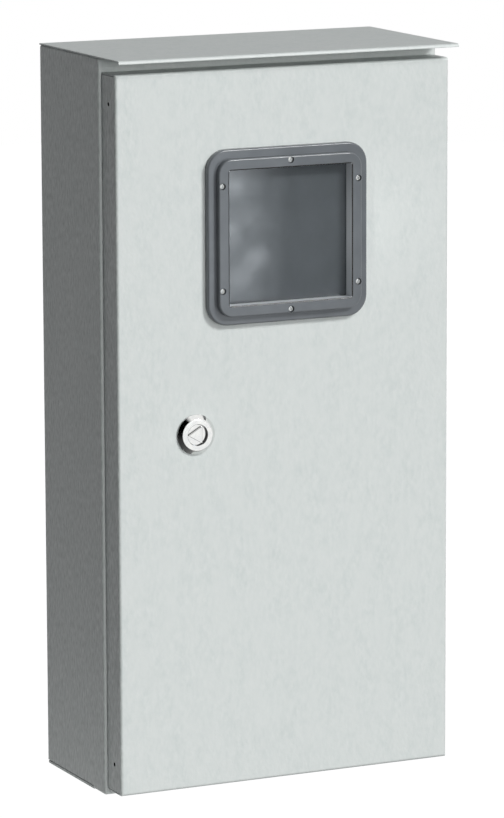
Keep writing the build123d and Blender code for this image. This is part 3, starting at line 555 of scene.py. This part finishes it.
# the rounded front edge of the opening gets the mark for its painted shade line
markFaces(bezel, "openingEdge", lambda middle, normal: (
    0.05 <= fromOpening(middle) < bezelSizes["openingEdge"] and -middle.y > bezelSizes["front"] - 1.0))

paneSizes = {"size": 114.0, "corner": 1.5, "back": 143.4, "front": 146.4, "edge": 0.3}


def makePaneSheet(s):
    profile = [(s["edge"], s["back"]), (0, s["back"] + s["edge"]), (0, s["front"] - s["edge"]),
               (s["edge"], s["front"])]
    return loftLoops([
        roundedLoop(s["size"] - 2 * inset, s["size"] - 2 * inset, s["corner"], out, windowMiddle)
        for inset, out in profile])


finishPiece(makePaneSheet(paneSizes), "window_pane", 0.0, 30)
print("window made")


# Quarter-turn lock, turned round its own axis

lockSizes = {
    "seat": 147.4, "front": 151.2, "headRadius": 16.3, "faceRadius": 12.8, "land": 0.5, "edge": 0.6,
    "seatEdge": 0.15, "recessRadius": 8.7, "recessFloor": 147.8, "recessEdge": 0.25, "bore": 5.05,
    "barrelRadius": 10.0, "barrelFlats": 18.0, "barrelEnd": 117.5, "barrelChamfer": 0.4,
    "threadPitch": 1.5, "threadDepth": 0.45, "threadStart": 1.2, "discRadius": 8.4, "discFoot": 147.83,
    "discTop": 148.6, "discEdge": 0.2, "postRadius": 8.0, "postCorner": 0.5, "postEdge": 0.25,
    "paintedShadeFoot": 1.2, "spindle": 5.0, "square": 7.0, "squareTop": 117.0, "end": 114.5, "screwBore": 2.55,
    "screwDepth": 13.0, "steps": 96, "tipSteps": 8,
}


def lockPoint(x, z, out):
    return Vector(((lockCentre[0] + x) * mm, -out * mm, (lockCentre[1] + z) * mm))


def lockLoop(radius, out):
    # round the lock's axis; radius is a number or a function of the angle, in mm
    points = []
    for step in range(lockSizes["steps"]):
        angle = 2 * math.pi * step / lockSizes["steps"]
        reach = radius(angle) if callable(radius) else radius
        points.append(lockPoint(reach * math.cos(angle), reach * math.sin(angle), out))
    return points


def makeLockHousing(s):
    def barrel(depth):
        def reach(angle):
            flat = abs(math.sin(angle))
            limit = s["barrelFlats"] / 2 / flat if flat > 0.01 else 1000.0
            return min(s["barrelRadius"] - depth, limit)
        return reach

    # pairs of radius and distance from the wall, from the bore round the head to the barrel's end
    profile = [
        (s["bore"], s["recessFloor"]), (s["recessRadius"], s["recessFloor"]),
        (s["recessRadius"], s["front"] - s["recessEdge"]), (s["recessRadius"] + s["recessEdge"], s["front"]),
    ]
    slope = (s["headRadius"] - s["faceRadius"]) / (s["front"] - s["seat"] - s["land"])
    for step in range(5):
        turn = math.radians(90 * step / 4)
        radius = s["faceRadius"] - s["edge"] * (1 - math.sin(turn)) * (1 - 0.35 * slope)
        drop = s["edge"] * (1 - math.cos(turn)) * 0.8
        profile.append((radius + slope * drop * math.sin(turn), s["front"] - drop))
    out = s["seat"] - s["threadStart"]
    profile += [
        (s["headRadius"], s["seat"] + s["land"]), (s["headRadius"], s["seat"] + s["seatEdge"]),
        (s["headRadius"] - s["seatEdge"], s["seat"]), (barrel(0), s["seat"]), (barrel(0), out),
    ]
    # rolled thread, drawn as rings at its real pitch
    while out > s["barrelEnd"] + s["threadPitch"] + 0.5:
        profile.append((barrel(s["threadDepth"]), out - s["threadPitch"] * 0.5))
        out -= s["threadPitch"]
        profile.append((barrel(0), out))
    chamfer = s["barrelChamfer"]
    profile += [(barrel(0), s["barrelEnd"] + chamfer), (barrel(chamfer), s["barrelEnd"]),
                (s["bore"], s["barrelEnd"])]
    return loftLoops([lockLoop(radius, out) for radius, out in profile], closed=True)


def postLoop(s, inset, out):
    # the post's rounded triangle, tip to the left: as many points as a lock loop, which starts at +X
    arcCentre = s["postRadius"] - 2 * inset - 2 * s["postCorner"]

    def corner(spot, angle):
        return [arcCentre * part(spot) + s["postCorner"] * part(angle) for part in (math.cos, math.sin)]

    count = s["steps"] // 3 - s["tipSteps"] - 1
    ring = []
    for i in range(3):
        spot = math.pi + i * 2 * math.pi / 3
        ring += [corner(spot, spot + math.radians(-60 + 120 * step / s["tipSteps"]))
                 for step in range(s["tipSteps"] + 1)]
        start = ring[-1]
        following = math.pi + (i + 1) % 3 * 2 * math.pi / 3
        end = corner(following, following - math.pi / 3)
        ring += [[a + (b - a) * step / (count + 1) for a, b in zip(start, end)]
                 for step in range(1, count + 1)]
    # turned so that its first point lies nearest to the angle 0 that the round loops start at
    first = min(range(len(ring)), key=lambda i: abs(math.atan2(ring[i][1], ring[i][0])))
    ring = ring[first:] + ring[:first]
    return [lockPoint(x, z, out) for x, z in ring]


def makeLockInsert(s):
    def square(angle):
        return s["square"] / 2 / max(abs(math.cos(angle)), abs(math.sin(angle)))

    turned = [
        (s["screwBore"], s["end"] + s["screwDepth"]), (s["screwBore"], s["end"]), (square, s["end"]),
        (square, s["squareTop"]), (s["spindle"], s["squareTop"]), (s["spindle"], s["discFoot"]),
        (s["discRadius"], s["discFoot"]), (s["discRadius"], s["discTop"] - s["discEdge"]),
        (s["discRadius"] - s["discEdge"], s["discTop"]),
    ]
    post = [(0.0, s["discTop"]), (0.0, s["discTop"] + s["paintedShadeFoot"]), (0.0, s["front"] - s["postEdge"]),
            (s["postEdge"], s["front"])]
    return loftLoops([lockLoop(*place) for place in turned] + [postLoop(s, *place) for place in post])


# steep walls in the recess and the band at the foot of the post, which are painted dark as painted shade
def paintedShadeOnHousing(middle, normal):
    reach = math.dist((middle.x, middle.z), lockCentre)
    return (abs(normal.y) < 0.4 and -middle.y > lockSizes["recessFloor"]
            and reach < lockSizes["recessRadius"] + 0.1)


def paintedShadeOnInsert(middle, normal):
    return abs(normal.y) < 0.4 and 0 < -middle.y - lockSizes["discTop"] < lockSizes["paintedShadeFoot"]


markFaces(finishPiece(makeLockHousing(lockSizes), "lock_housing", 0.0, 30), "paintedShadeWall", paintedShadeOnHousing)
markFaces(finishPiece(makeLockInsert(lockSizes), "lock_insert", 0.0, 30), "paintedShadeWall", paintedShadeOnInsert)
print("lock made")


# Geometry Nodes trees for the fasteners and the gasket

def startTree(name, numbers, *vectors):
    # the tree takes a mesh, the named numbers and vectors, and a material
    tree = bpy.data.node_groups.new(name, "GeometryNodeTree")
    kinds = {"Geometry": "Geometry", **dict.fromkeys(numbers, "Float"), **dict.fromkeys(vectors, "Vector")}
    for label, kind in {**kinds, "Material": "Material"}.items():
        tree.interface.new_socket(label, in_out="INPUT", socket_type="NodeSocket" + kind)
    tree.interface.new_socket("Geometry", in_out="OUTPUT", socket_type="NodeSocketGeometry")
    return tree, addNode(tree, "NodeGroupInput").outputs


def endTree(tree, sizes, geometry):
    real = addNode(tree, "GeometryNodeRealizeInstances", {"Geometry": geometry})
    dressed = addNode(tree, "GeometryNodeSetMaterial", {
        "Geometry": real.outputs[0], "Material": sizes["Material"],
    })
    addNode(tree, "NodeGroupOutput", {"Geometry": dressed.outputs[0]})
    return tree


def endWithEach(tree, sizes, shape, spin=0.0):
    # the shape stands on each point; spin is the greatest random turn about its axis, from a fixed seed
    each = addNode(tree, "GeometryNodeInstanceOnPoints", {
        "Points": sizes["Geometry"], "Instance": shape, "Rotation": sizes["Direction"],
    })
    turn = addNode(tree, "FunctionNodeRandomValue", {"Max": spin, "Seed": 7})
    about = addNode(tree, "ShaderNodeCombineXYZ", {"Z": turn.outputs["Value"]})
    turned = addNode(tree, "GeometryNodeRotateInstances", {
        "Instances": each.outputs[0], "Rotation": about.outputs[0],
    })
    return endTree(tree, sizes, turned.outputs[0])


def lathe(tree, length, gap, radius, shape, ridge=0.0, sides=28):
    # a round body up from z = 0 with a ring each gap; shape lists (place, share of the radius)
    # from its foot to its end, and every second ring is narrower by the share ridge
    top = addNode(tree, "ShaderNodeCombineXYZ", {"Z": length}).outputs[0]
    line = addNode(tree, "GeometryNodeCurvePrimitiveLine", {"End": top}).outputs[0]
    fine = addNode(tree, "GeometryNodeResampleCurve", {"Curve": line, "Length": gap}, mode="LENGTH")
    where = addNode(tree, "GeometryNodeSplineParameter").outputs
    share = addNode(tree, "ShaderNodeFloatCurve", {"Value": where["Factor"]})
    points = share.mapping.curves[0].points
    points[0].location = shape[0]
    points[1].location = shape[-1]
    for place in shape[1:-1]:
        points.new(*place)
    for point in points:
        point.handle_type = "VECTOR"
    share.mapping.update()
    odd = addNode(tree, "ShaderNodeMath", {0: where["Index"], 1: 2.0}, operation="MODULO")
    scale = addNode(tree, "ShaderNodeMath", {
        0: odd.outputs[0], 1: -ridge, 2: share.outputs[0],
    }, operation="MULTIPLY_ADD")
    ring = addNode(tree, "GeometryNodeCurvePrimitiveCircle", {"Resolution": sides, "Radius": radius})
    return addNode(tree, "GeometryNodeCurveToMesh", {
        "Curve": fine.outputs[0], "Profile Curve": ring.outputs[0], "Scale": scale.outputs[0],
        "Fill Caps": True,
    }).outputs[0]


def panScrewTree():
    # a pan head over z = 0 with a cross recess, and a threaded shank below
    tree, sizes = startTree(
        "crossRecessScrew", ("HeadRadius", "HeadHeight", "ShankRadius", "Length", "HalfPitch"), "Direction")
    dome = [(0.0, 1.0), (0.4, 1.0), (0.55, 0.995), (0.7, 0.967), (0.8, 0.927), (0.9, 0.854),
            (0.95, 0.79), (1.0, 0.62)]
    head = lathe(tree, sizes["HeadHeight"], 0.2 * mm, sizes["HeadRadius"], dome)
    recessed = addNode(tree, "GeometryNodeMeshBoolean", {
        "Mesh 1": head,
    }, operation="DIFFERENCE", solver="EXACT")
    reach = addNode(tree, "ShaderNodeCombineXYZ", {
        "X": sizes["HeadRadius"], "Y": sizes["HeadRadius"], "Z": sizes["HeadHeight"],
    }).outputs[0]
    lift = addNode(tree, "ShaderNodeCombineXYZ", {"Z": sizes["HeadHeight"]}).outputs[0]
    for shares in ((1.15, 0.24, 1.1), (0.24, 1.15, 1.1)):
        size = addNode(tree, "ShaderNodeVectorMath", {0: reach, 1: shares}, operation="MULTIPLY")
        bar = addNode(tree, "GeometryNodeMeshCube", {"Size": size.outputs[0]})
        arm = addNode(tree, "GeometryNodeTransform", {"Geometry": bar.outputs[0], "Translation": lift})
        tree.links.new(arm.outputs[0], recessed.inputs["Mesh 2"])
    shank = lathe(tree, sizes["Length"], sizes["HalfPitch"], sizes["ShankRadius"],
                  [(0.0, 1.0), (0.98, 1.0), (1.0, 0.8)], 0.14, 20)
    below = addNode(tree, "GeometryNodeTransform", {"Geometry": shank, "Rotation": (math.pi, 0.0, 0.0)})
    whole = addNode(tree, "GeometryNodeJoinGeometry")
    for part in (below, recessed):
        tree.links.new(part.outputs[0], whole.inputs[0])
    return endWithEach(tree, sizes, whole.outputs[0], 2 * math.pi)


def hexNutTree():
    # a hexagon whose corners are turned off at the top, with a round bore
    tree, sizes = startTree("hexNut", ("Corner", "Turned", "Height", "Bore"), "Direction")
    block = lathe(tree, sizes["Height"], 2.0 * mm, sizes["Corner"], [(0.0, 1.0), (1.0, 1.0)], 0.0, 6)
    body = lathe(tree, sizes["Height"], 0.4 * mm, sizes["Turned"], [(0.0, 1.0), (0.7, 1.0), (1.0, 0.84)],
                 0.0, 48)
    crown = addNode(tree, "GeometryNodeMeshBoolean", operation="INTERSECT", solver="EXACT")
    for part in (block, body):
        tree.links.new(part, crown.inputs["Mesh 2"])
    drill = addNode(tree, "GeometryNodeMeshCylinder", {
        "Vertices": 32, "Radius": sizes["Bore"], "Depth": 20.0 * mm,
    })
    bored = addNode(tree, "GeometryNodeMeshBoolean", {
        "Mesh 1": crown.outputs[0],
    }, operation="DIFFERENCE", solver="EXACT")
    tree.links.new(drill.outputs["Mesh"], bored.inputs["Mesh 2"])
    return endWithEach(tree, sizes, bored.outputs[0], math.pi / 3)


def ringTree():
    # washers and spacers: a rounded bar section swept round a circle
    tree, sizes = startTree("turnedRing", ("Middle", "Bar", "Height", "Edge"), "Lift", "Direction")
    path = addNode(tree, "GeometryNodeCurvePrimitiveCircle", {"Resolution": 48, "Radius": sizes["Middle"]})
    section = addNode(tree, "GeometryNodeCurvePrimitiveQuadrilateral", {
        "Width": sizes["Bar"], "Height": sizes["Height"],
    })
    soft = addNode(tree, "GeometryNodeFilletCurve", {"Curve": section.outputs[0], "Radius": sizes["Edge"]})
    band = addNode(tree, "GeometryNodeCurveToMesh", {
        "Curve": path.outputs[0], "Profile Curve": soft.outputs[0],
    })
    raised = addNode(tree, "GeometryNodeTransform", {
        "Geometry": band.outputs[0], "Translation": sizes["Lift"],
    })
    return endWithEach(tree, sizes, raised.outputs[0])


def studTree():
    # a threaded stud that rises from z = 0 to a chamfered end
    tree, sizes = startTree("threadedStud", ("Radius", "Length", "HalfPitch"), "Direction")
    body = lathe(tree, sizes["Length"], sizes["HalfPitch"], sizes["Radius"],
                 [(0.0, 1.0), (0.95, 1.0), (1.0, 0.8)], 0.14, 24)
    return endWithEach(tree, sizes, body)


def growPiece(node, tree, points, values, angle=35, edges=()):
    mesh = bpy.data.meshes.new("points")
    mesh.from_pydata([tuple(point) for point in points], edges, [])
    holder = addObject("points", mesh)
    values = {**values, "Material": finishes[slotOf[node]]}
    applyModifier(holder, "NODES", {"node_group": tree}, {
        item.identifier: values[item.name] for item in tree.interface.items_tree
        if item.in_out == "INPUT" and item.name in values
    })
    finishPiece(holder, node, 0.0, angle)


# Turns that bring +Z to the way a fastener's head or nut faces, and that way's axis and sign
facing = {
    "room": (math.pi / 2, 0.0, 0.0), "wall": (-math.pi / 2, 0.0, 0.0), "down": (math.pi, 0.0, 0.0),
    "up": (0.0, 0.0, 0.0), "right": (0.0, math.pi / 2, 0.0), "left": (0.0, -math.pi / 2, 0.0),
}
faceAxis = {"room": (1, -1), "wall": (1, 1), "down": (2, -1), "up": (2, 1), "right": (0, 1), "left": (0, -1)}


def growEach(node, tree, way, values, angle=35, back=0.0):
    # one on the middle of each solid's end that lies away from the way it faces, moved on by back mm;
    # for a screw, back is its length below the head
    axis, sign = faceAxis[way]
    spots = []
    for low, high in solidBoxes(node):
        spot = (low + high) / 2
        spot[axis] = (low[axis] if sign > 0 else high[axis]) + sign * back * mm
        spots.append(spot)
    growPiece(node, tree, spots, {**values, "Direction": facing[way]}, angle)


screwTree = panScrewTree()
nutTree = hexNutTree()
washerTree = ringTree()
boltTree = studTree()

# head radius, head height, shank radius, length under the head and pitch, in mm
screwKinds = {
    "window_screws": ("room", 2.4, 2.0, 1.5, 16.9, 0.5),
    "gland_screws": ("down", 4.75, 2.8, 2.5, 9.2, 0.8),
    "hinge_leaf_screws": ("right", 3.5, 2.2, 2.0, 6.9, 0.7),
    "door_leaf_screws": ("right", 2.8, 1.6, 1.5, 6.1, 0.5),
}
for node, (way, headRadius, headHeight, radius, length, pitch) in screwKinds.items():
    growEach(node, screwTree, way, {
        "HeadRadius": headRadius * mm, "HeadHeight": headHeight * mm, "ShankRadius": radius * mm,
        "Length": length * mm, "HalfPitch": pitch / 2 * mm,
    }, back=length)

# flats, height and bore radius in mm
nutKinds = {
    "plate_nuts": ("room", 10.0, 5.0, 3.05),
    "body_earth_nut": ("room", 10.0, 5.0, 3.05),
    "door_earth_nut": ("wall", 10.0, 5.0, 3.05),
    "gland_nuts": ("up", 8.0, 4.0, 2.55),
    "hinge_leaf_nuts": ("left", 7.0, 3.2, 2.05),
    "door_leaf_nuts": ("left", 5.5, 2.4, 1.55),
    "window_nuts": ("wall", 5.5, 2.4, 1.55),
    "lock_nut": ("wall", 27.0, 5.0, 10.05),
}
for node, (way, flats, height, bore) in nutKinds.items():
    corner = flats / math.sqrt(3) * mm
    growEach(node, nutTree, way, {
        "Corner": corner, "Turned": 1.01 * corner, "Height": height * mm, "Bore": bore * mm,
    }, 25)

# inner radius, outer radius, height and edge in mm
ringKinds = {
    "plate_spacers": ("room", 3.05, 6.0, 10.0, 0.4),
    "plate_washers": ("room", 3.05, 6.0, 1.6, 0.25),
    "body_earth_washer": ("room", 3.05, 6.0, 1.6, 0.25),
    "door_earth_washer": ("wall", 3.05, 6.0, 1.6, 0.25),
    "cam_washer": ("wall", 2.55, 7.0, 1.2, 0.2),
}
for node, (way, inner, outer, height, edge) in ringKinds.items():
    growEach(node, washerTree, way, {
        "Middle": (inner + outer) / 2 * mm, "Bar": (outer - inner) * mm, "Height": height * mm,
        "Edge": edge * mm, "Lift": (0.0, 0.0, height / 2 * mm),
    })

# radius, length and pitch in mm
studKinds = {
    "plate_studs": ("room", 3.0, 22.6, 1.0),
    "body_earth_stud": ("room", 3.0, 16.0, 1.0),
    "door_earth_stud": ("wall", 3.0, 16.0, 1.0),
}
for node, (way, radius, length, pitch) in studKinds.items():
    growEach(node, boltTree, way, {
        "Radius": radius * mm, "Length": length * mm, "HalfPitch": pitch / 2 * mm,
    })
print("fasteners made")


# Foam gasket: a half-round bead poured round the inside of the door

gasketSizes = {
    "width": 248.8, "height": 548.8, "corner": 7.5, "bead": 10.0, "wallSide": 137.3, "doorSide": 145.2,
    "gap": 6.0, "lump": 0.25, "flatLump": 0.1,
}


def gasketTree():
    # follows the mesh path with a half-round section, and adds the slow unevenness of a poured bead
    tree, sizes = startTree("foamBead", (), "Section", "Uneven")
    path = addNode(tree, "GeometryNodeMeshToCurve", {"Mesh": sizes["Geometry"]})
    half = addNode(tree, "GeometryNodeCurveArc", {
        "Resolution": 16, "Radius": 1.0, "Start Angle": -math.pi / 2, "Sweep Angle": math.pi,
        "Connect Center": True,
    }, mode="RADIUS")
    section = addNode(tree, "GeometryNodeTransform", {
        "Geometry": half.outputs[0], "Scale": sizes["Section"],
    })
    bead = addNode(tree, "GeometryNodeCurveToMesh", {
        "Curve": path.outputs[0], "Profile Curve": section.outputs[0],
    })
    lumps = addNode(tree, "ShaderNodeTexNoise", {"Scale": 40.0, "Detail": 1.0})
    centred = addNode(tree, "ShaderNodeVectorMath", {
        0: lumps.outputs["Color"], 1: (0.5, 0.5, 0.5),
    }, operation="SUBTRACT")
    shift = addNode(tree, "ShaderNodeVectorMath", {
        0: centred.outputs[0], 1: sizes["Uneven"],
    }, operation="MULTIPLY")
    uneven = addNode(tree, "GeometryNodeSetPosition", {
        "Geometry": bead.outputs[0], "Offset": shift.outputs[0],
    })
    return endTree(tree, sizes, uneven.outputs[0])


def makeGasket(s):
    loop = roundedLoop(s["width"], s["height"], s["corner"], s["doorSide"], (0, 0), 10)
    points = []
    for i, point in enumerate(loop):
        following = loop[(i + 1) % len(loop)]
        count = max(1, round((following - point).length / (s["gap"] * mm)))
        points += [point.lerp(following, k / count) for k in range(count)]
    edges = [(i, (i + 1) % len(points)) for i in range(len(points))]
    growPiece("door_gasket", gasketTree(), points, {
        "Section": ((s["doorSide"] - s["wallSide"]) * mm, s["bead"] / 2 * mm, 1.0),
        "Uneven": (s["lump"] * mm, s["flatLump"] * mm, s["lump"] * mm),
    }, 50, edges)


makeGasket(gasketSizes)
print("gasket made")


# Stage: floor, world, lamps, cards and camera

stageSettings = {
    "floorHeight": -0.9, "floorRadius": 9.0, "floorTone": (0.3, 0.3, 0.3, 1.0), "floorGlow": 0.88,
    "ambient": 0.08, "mirrorDark": 0.3, "mirrorBright": 2.2, "pipeRadius": 0.8,
}
# broad key from the upper right front, soft fill from the front, a small low lamp that brightens the
# foot of the left side, and a narrow spot from the left that reaches the right wall of the window's
# opening; each shines from its spot to its aim, and of a sun only that direction counts
lamps = {
    "key": {"kind": "SUN", "spot": (0.38, -0.72, 0.58), "aim": (0.0, 0.0, 0.0), "glossy": True,
            "settings": {"energy": 2.2, "angle": math.radians(18), "color": linearColour("#fcfdfd")[:3]}},
    "fill": {"kind": "SUN", "spot": (-0.045, -0.993, 0.11), "aim": (0.0, 0.0, 0.0), "glossy": False,
             "settings": {"energy": 1.145, "angle": math.radians(20), "color": linearColour("#fcfdfd")[:3]}},
    "lowFill": {"kind": "AREA", "spot": (-0.31, -0.12, -0.52), "aim": (-0.15, -0.09, -0.29), "glossy": False,
                "settings": {"energy": 0.24, "size": 0.2}},
    "windowSpot": {"kind": "SPOT", "spot": (-0.35, -0.42, 0.10), "aim": (0.040, -0.152, 0.154),
                   "glossy": False, "settings": {"energy": 1.9, "spot_size": math.radians(13),
                                                 "spot_blend": 1.0, "shadow_soft_size": 0.03}},
}


def showBright(tree, strength):
    # the strength for rays that show the background to the camera, to metal and through glass
    light = addNode(tree, "ShaderNodeLightPath").outputs
    shown = light["Is Camera Ray"]
    for kind in ("Is Glossy Ray", "Is Transmission Ray"):
        shown = addNode(tree, "ShaderNodeMath", {0: shown, 1: light[kind]}, operation="MAXIMUM").outputs[0]
    return addNode(tree, "ShaderNodeMath", {0: shown, 1: strength}, operation="MULTIPLY").outputs[0]


def emptyTree(holder):
    holder.use_nodes = True
    holder.node_tree.nodes.clear()
    return holder.node_tree


def makeFloor(s):
    shape = bmesh.new()
    bmesh.ops.create_circle(shape, cap_ends=True, radius=s["floorRadius"], segments=64)
    floor = addShape(shape, "floor")
    floor.data.transform(Matrix.Translation((0, 0, s["floorHeight"])))
    material = bpy.data.materials.new("paleFloor")
    tree = emptyTree(material)
    matt = addNode(tree, "ShaderNodeBsdfDiffuse", {"Color": s["floorTone"]}).outputs[0]
    glow = addNode(tree, "ShaderNodeEmission", {
        "Color": (1, 1, 1, 1), "Strength": showBright(tree, s["floorGlow"]),
    }).outputs[0]
    both = addNode(tree, "ShaderNodeAddShader", {0: matt, 1: glow}).outputs[0]
    addNode(tree, "ShaderNodeOutputMaterial", {"Surface": both})
    floor.data.materials.append(material)


def makeWorld(s):
    world = bpy.data.worlds.new("studio")
    bpy.context.scene.world = world
    tree = emptyTree(world)
    soft = addNode(tree, "ShaderNodeBackground", {"Color": "#f2f6ff", "Strength": s["ambient"]})
    white = addNode(tree, "ShaderNodeBackground", {"Color": (1, 1, 1, 1), "Strength": 1.0})
    mixed = addNode(tree, "ShaderNodeMixShader", {
        0: showBright(tree, 1.0), 1: soft.outputs[0], 2: white.outputs[0],
    })
    addNode(tree, "ShaderNodeOutputWorld", {"Surface": mixed.outputs[0]})


def makeLamps():
    for name, s in lamps.items():
        lamp = bpy.data.lights.new(name, s["kind"])
        for key, value in s["settings"].items():
            setattr(lamp, key, value)
        holder = addObject(name, lamp)
        holder.location = s["spot"]
        holder.rotation_euler = (Vector(s["spot"]) - Vector(s["aim"])).to_track_quat("Z", "Y").to_euler()
        holder.visible_glossy = s["glossy"]
        holder.visible_camera = False


def cardMaterial(name, strength):
    # a card of even or drawn strength, see-through where its own attribute cover is 0
    material = bpy.data.materials.new(name)
    tree = emptyTree(material)
    glow = addNode(tree, "ShaderNodeEmission", {
        "Color": "#f2f9ff", "Strength": strength(tree) if callable(strength) else strength,
    })
    clear = addNode(tree, "ShaderNodeBsdfTransparent")
    cover = addNode(tree, "ShaderNodeAttribute", attribute_name="cover")
    mixed = addNode(tree, "ShaderNodeMixShader", {
        0: cover.outputs["Fac"], 1: clear.outputs[0], 2: glow.outputs[0],
    })
    addNode(tree, "ShaderNodeOutputMaterial", {"Surface": mixed.outputs[0]})
    return material


def makeCard(name, corners, covers, material):
    # a strip of faces that only shows in reflections; covers has one value per pair of corners
    mesh = bpy.data.meshes.new(name)
    faces = [(2 * i, 2 * i + 1, 2 * i + 3, 2 * i + 2) for i in range(len(covers) - 1)]
    mesh.from_pydata(corners, [], faces)
    cover = mesh.attributes.new("cover", "FLOAT", "POINT")
    for i, entry in enumerate(cover.data):
        entry.value = covers[i // 2]
    mesh.materials.append(material)
    card = addObject(name, mesh)
    for kind in ("camera", "diffuse", "shadow", "transmission"):
        setattr(card, "visible_" + kind, False)


# angle in degrees and cover of the black half pipe's strips
pipeCovers = ((92, 0.0), (101, 0.4), (111, 1.0), (130, 1.0), (150, 1.0), (170, 1.0), (190, 0.99),
              (210, 0.96), (225, 0.95), (240, 0.93), (255, 0.90), (270, 0.86), (285, 0.78), (300, 0.62),
              (313, 0.3), (325, 0.0))
# x, z, radius and strength of the soft round clouds that the window mirrors
cloudSpots = ((0.672, -0.026, 0.024, 2.6), (0.666, -0.088, 0.022, 3.4), (0.696, -0.115, 0.022, 3.0),
              (0.680, -0.138, 0.024, 1.6), (0.690, -0.068, 0.024, 1.3))


def makeCards(s):
    # black half pipe on the left and below, for the dark side of the chrome, thinning out below
    pipe = []
    for degrees, cover in pipeCovers:
        turn = math.radians(degrees)
        x = lockCentre[0] * mm + s["pipeRadius"] * math.cos(turn)
        z = lockCentre[1] * mm + s["pipeRadius"] * math.sin(turn)
        pipe += [(x, -0.8, z), (x, 0.5, z)]
    makeCard("sideFlag", pipe, [cover for degrees, cover in pipeCovers], cardMaterial("blackCard", 0.0))
    # dark card behind, which keeps the roof from shining at its flat angle
    back = [(x, 1.8, z) for x in (-0.3, 1.5) for z in (0.42, 1.0)]
    makeCard("backFlag", back, [1.0, 1.0], cardMaterial("greyCard", 0.15))

    def clouds(tree):
        # brighter to the left, with a few soft round clouds
        place = addNode(tree, "ShaderNodeTexCoord").outputs["Object"]
        cloud = grain(tree, place, (26.0, 26.0, 24.0), 0.7, 1.2, 1.0)
        across = addNode(tree, "ShaderNodeSeparateXYZ", {"Vector": place}).outputs["X"]
        fade = addNode(tree, "ShaderNodeMapRange", {
            "Value": across, "From Min": 0.672, "From Max": 0.74, "To Min": s["mirrorBright"], "To Max": 0.0,
        }, interpolation_type="SMOOTHSTEP")
        total = addNode(tree, "ShaderNodeMath", {
            0: fade.outputs[0], 1: cloud, 2: s["mirrorDark"],
        }, operation="MULTIPLY_ADD")
        flat = addNode(tree, "ShaderNodeVectorMath", {0: place, 1: (1.0, 0.0, 1.0)}, operation="MULTIPLY")
        for x, z, radius, strength in cloudSpots:
            away = addNode(tree, "ShaderNodeVectorMath", {
                0: flat.outputs[0], 1: (x, 0.0, z),
            }, operation="DISTANCE")
            spot = addNode(tree, "ShaderNodeMapRange", {
                "Value": away.outputs["Value"], "From Max": radius, "To Min": strength, "To Max": 0.0,
            }, interpolation_type="SMOOTHSTEP")
            total = addNode(tree, "ShaderNodeMath", {
                0: total.outputs[0], 1: spot.outputs[0],
            }, operation="ADD")
        return total.outputs[0]

    # soft clouded reflector at the front right, which the window mirrors
    middle = Vector((0.0, -0.146, 0.154)) + 1.7 * Vector((0.413, -0.894, -0.175))
    side = Vector((0.454, 0.21, 0.0))
    corners = [tuple(middle + way * side + Vector((0.0, 0.0, lift)))
               for way in (-1, 1) for lift in (-0.09, 0.35)]
    makeCard("cloudCard", corners, [1.0, 1.0], cardMaterial("cloudCard", clouds))


cameraSettings = {
    "place": (-1.6124, -3.4873, 0.6840), "azimuth": -25.3455, "elevation": 10.2905, "roll": -0.2163,
    "lens": 205.66, "sensor": 36.0, "clipEnd": 100.0,
}


def makeCamera(s):
    lens = bpy.data.cameras.new("camera")
    lens.lens = s["lens"]
    lens.sensor_width = s["sensor"]
    lens.sensor_fit = "AUTO"
    lens.clip_end = s["clipEnd"]
    camera = addObject("camera", lens)
    azimuth, elevation, roll = (math.radians(s[name]) for name in ("azimuth", "elevation", "roll"))
    turn = (Matrix.Rotation(azimuth, 4, "Z") @ Matrix.Rotation(math.pi / 2 - elevation, 4, "X")
            @ Matrix.Rotation(roll, 4, "Z"))
    camera.matrix_world = Matrix.Translation(s["place"]) @ turn
    bpy.context.scene.camera = camera


makeFloor(stageSettings)
makeWorld(stageSettings)
makeLamps()
makeCards(stageSettings)
makeCamera(cameraSettings)
bpy.context.scene.view_settings.view_transform = "Standard"
print("stage made")
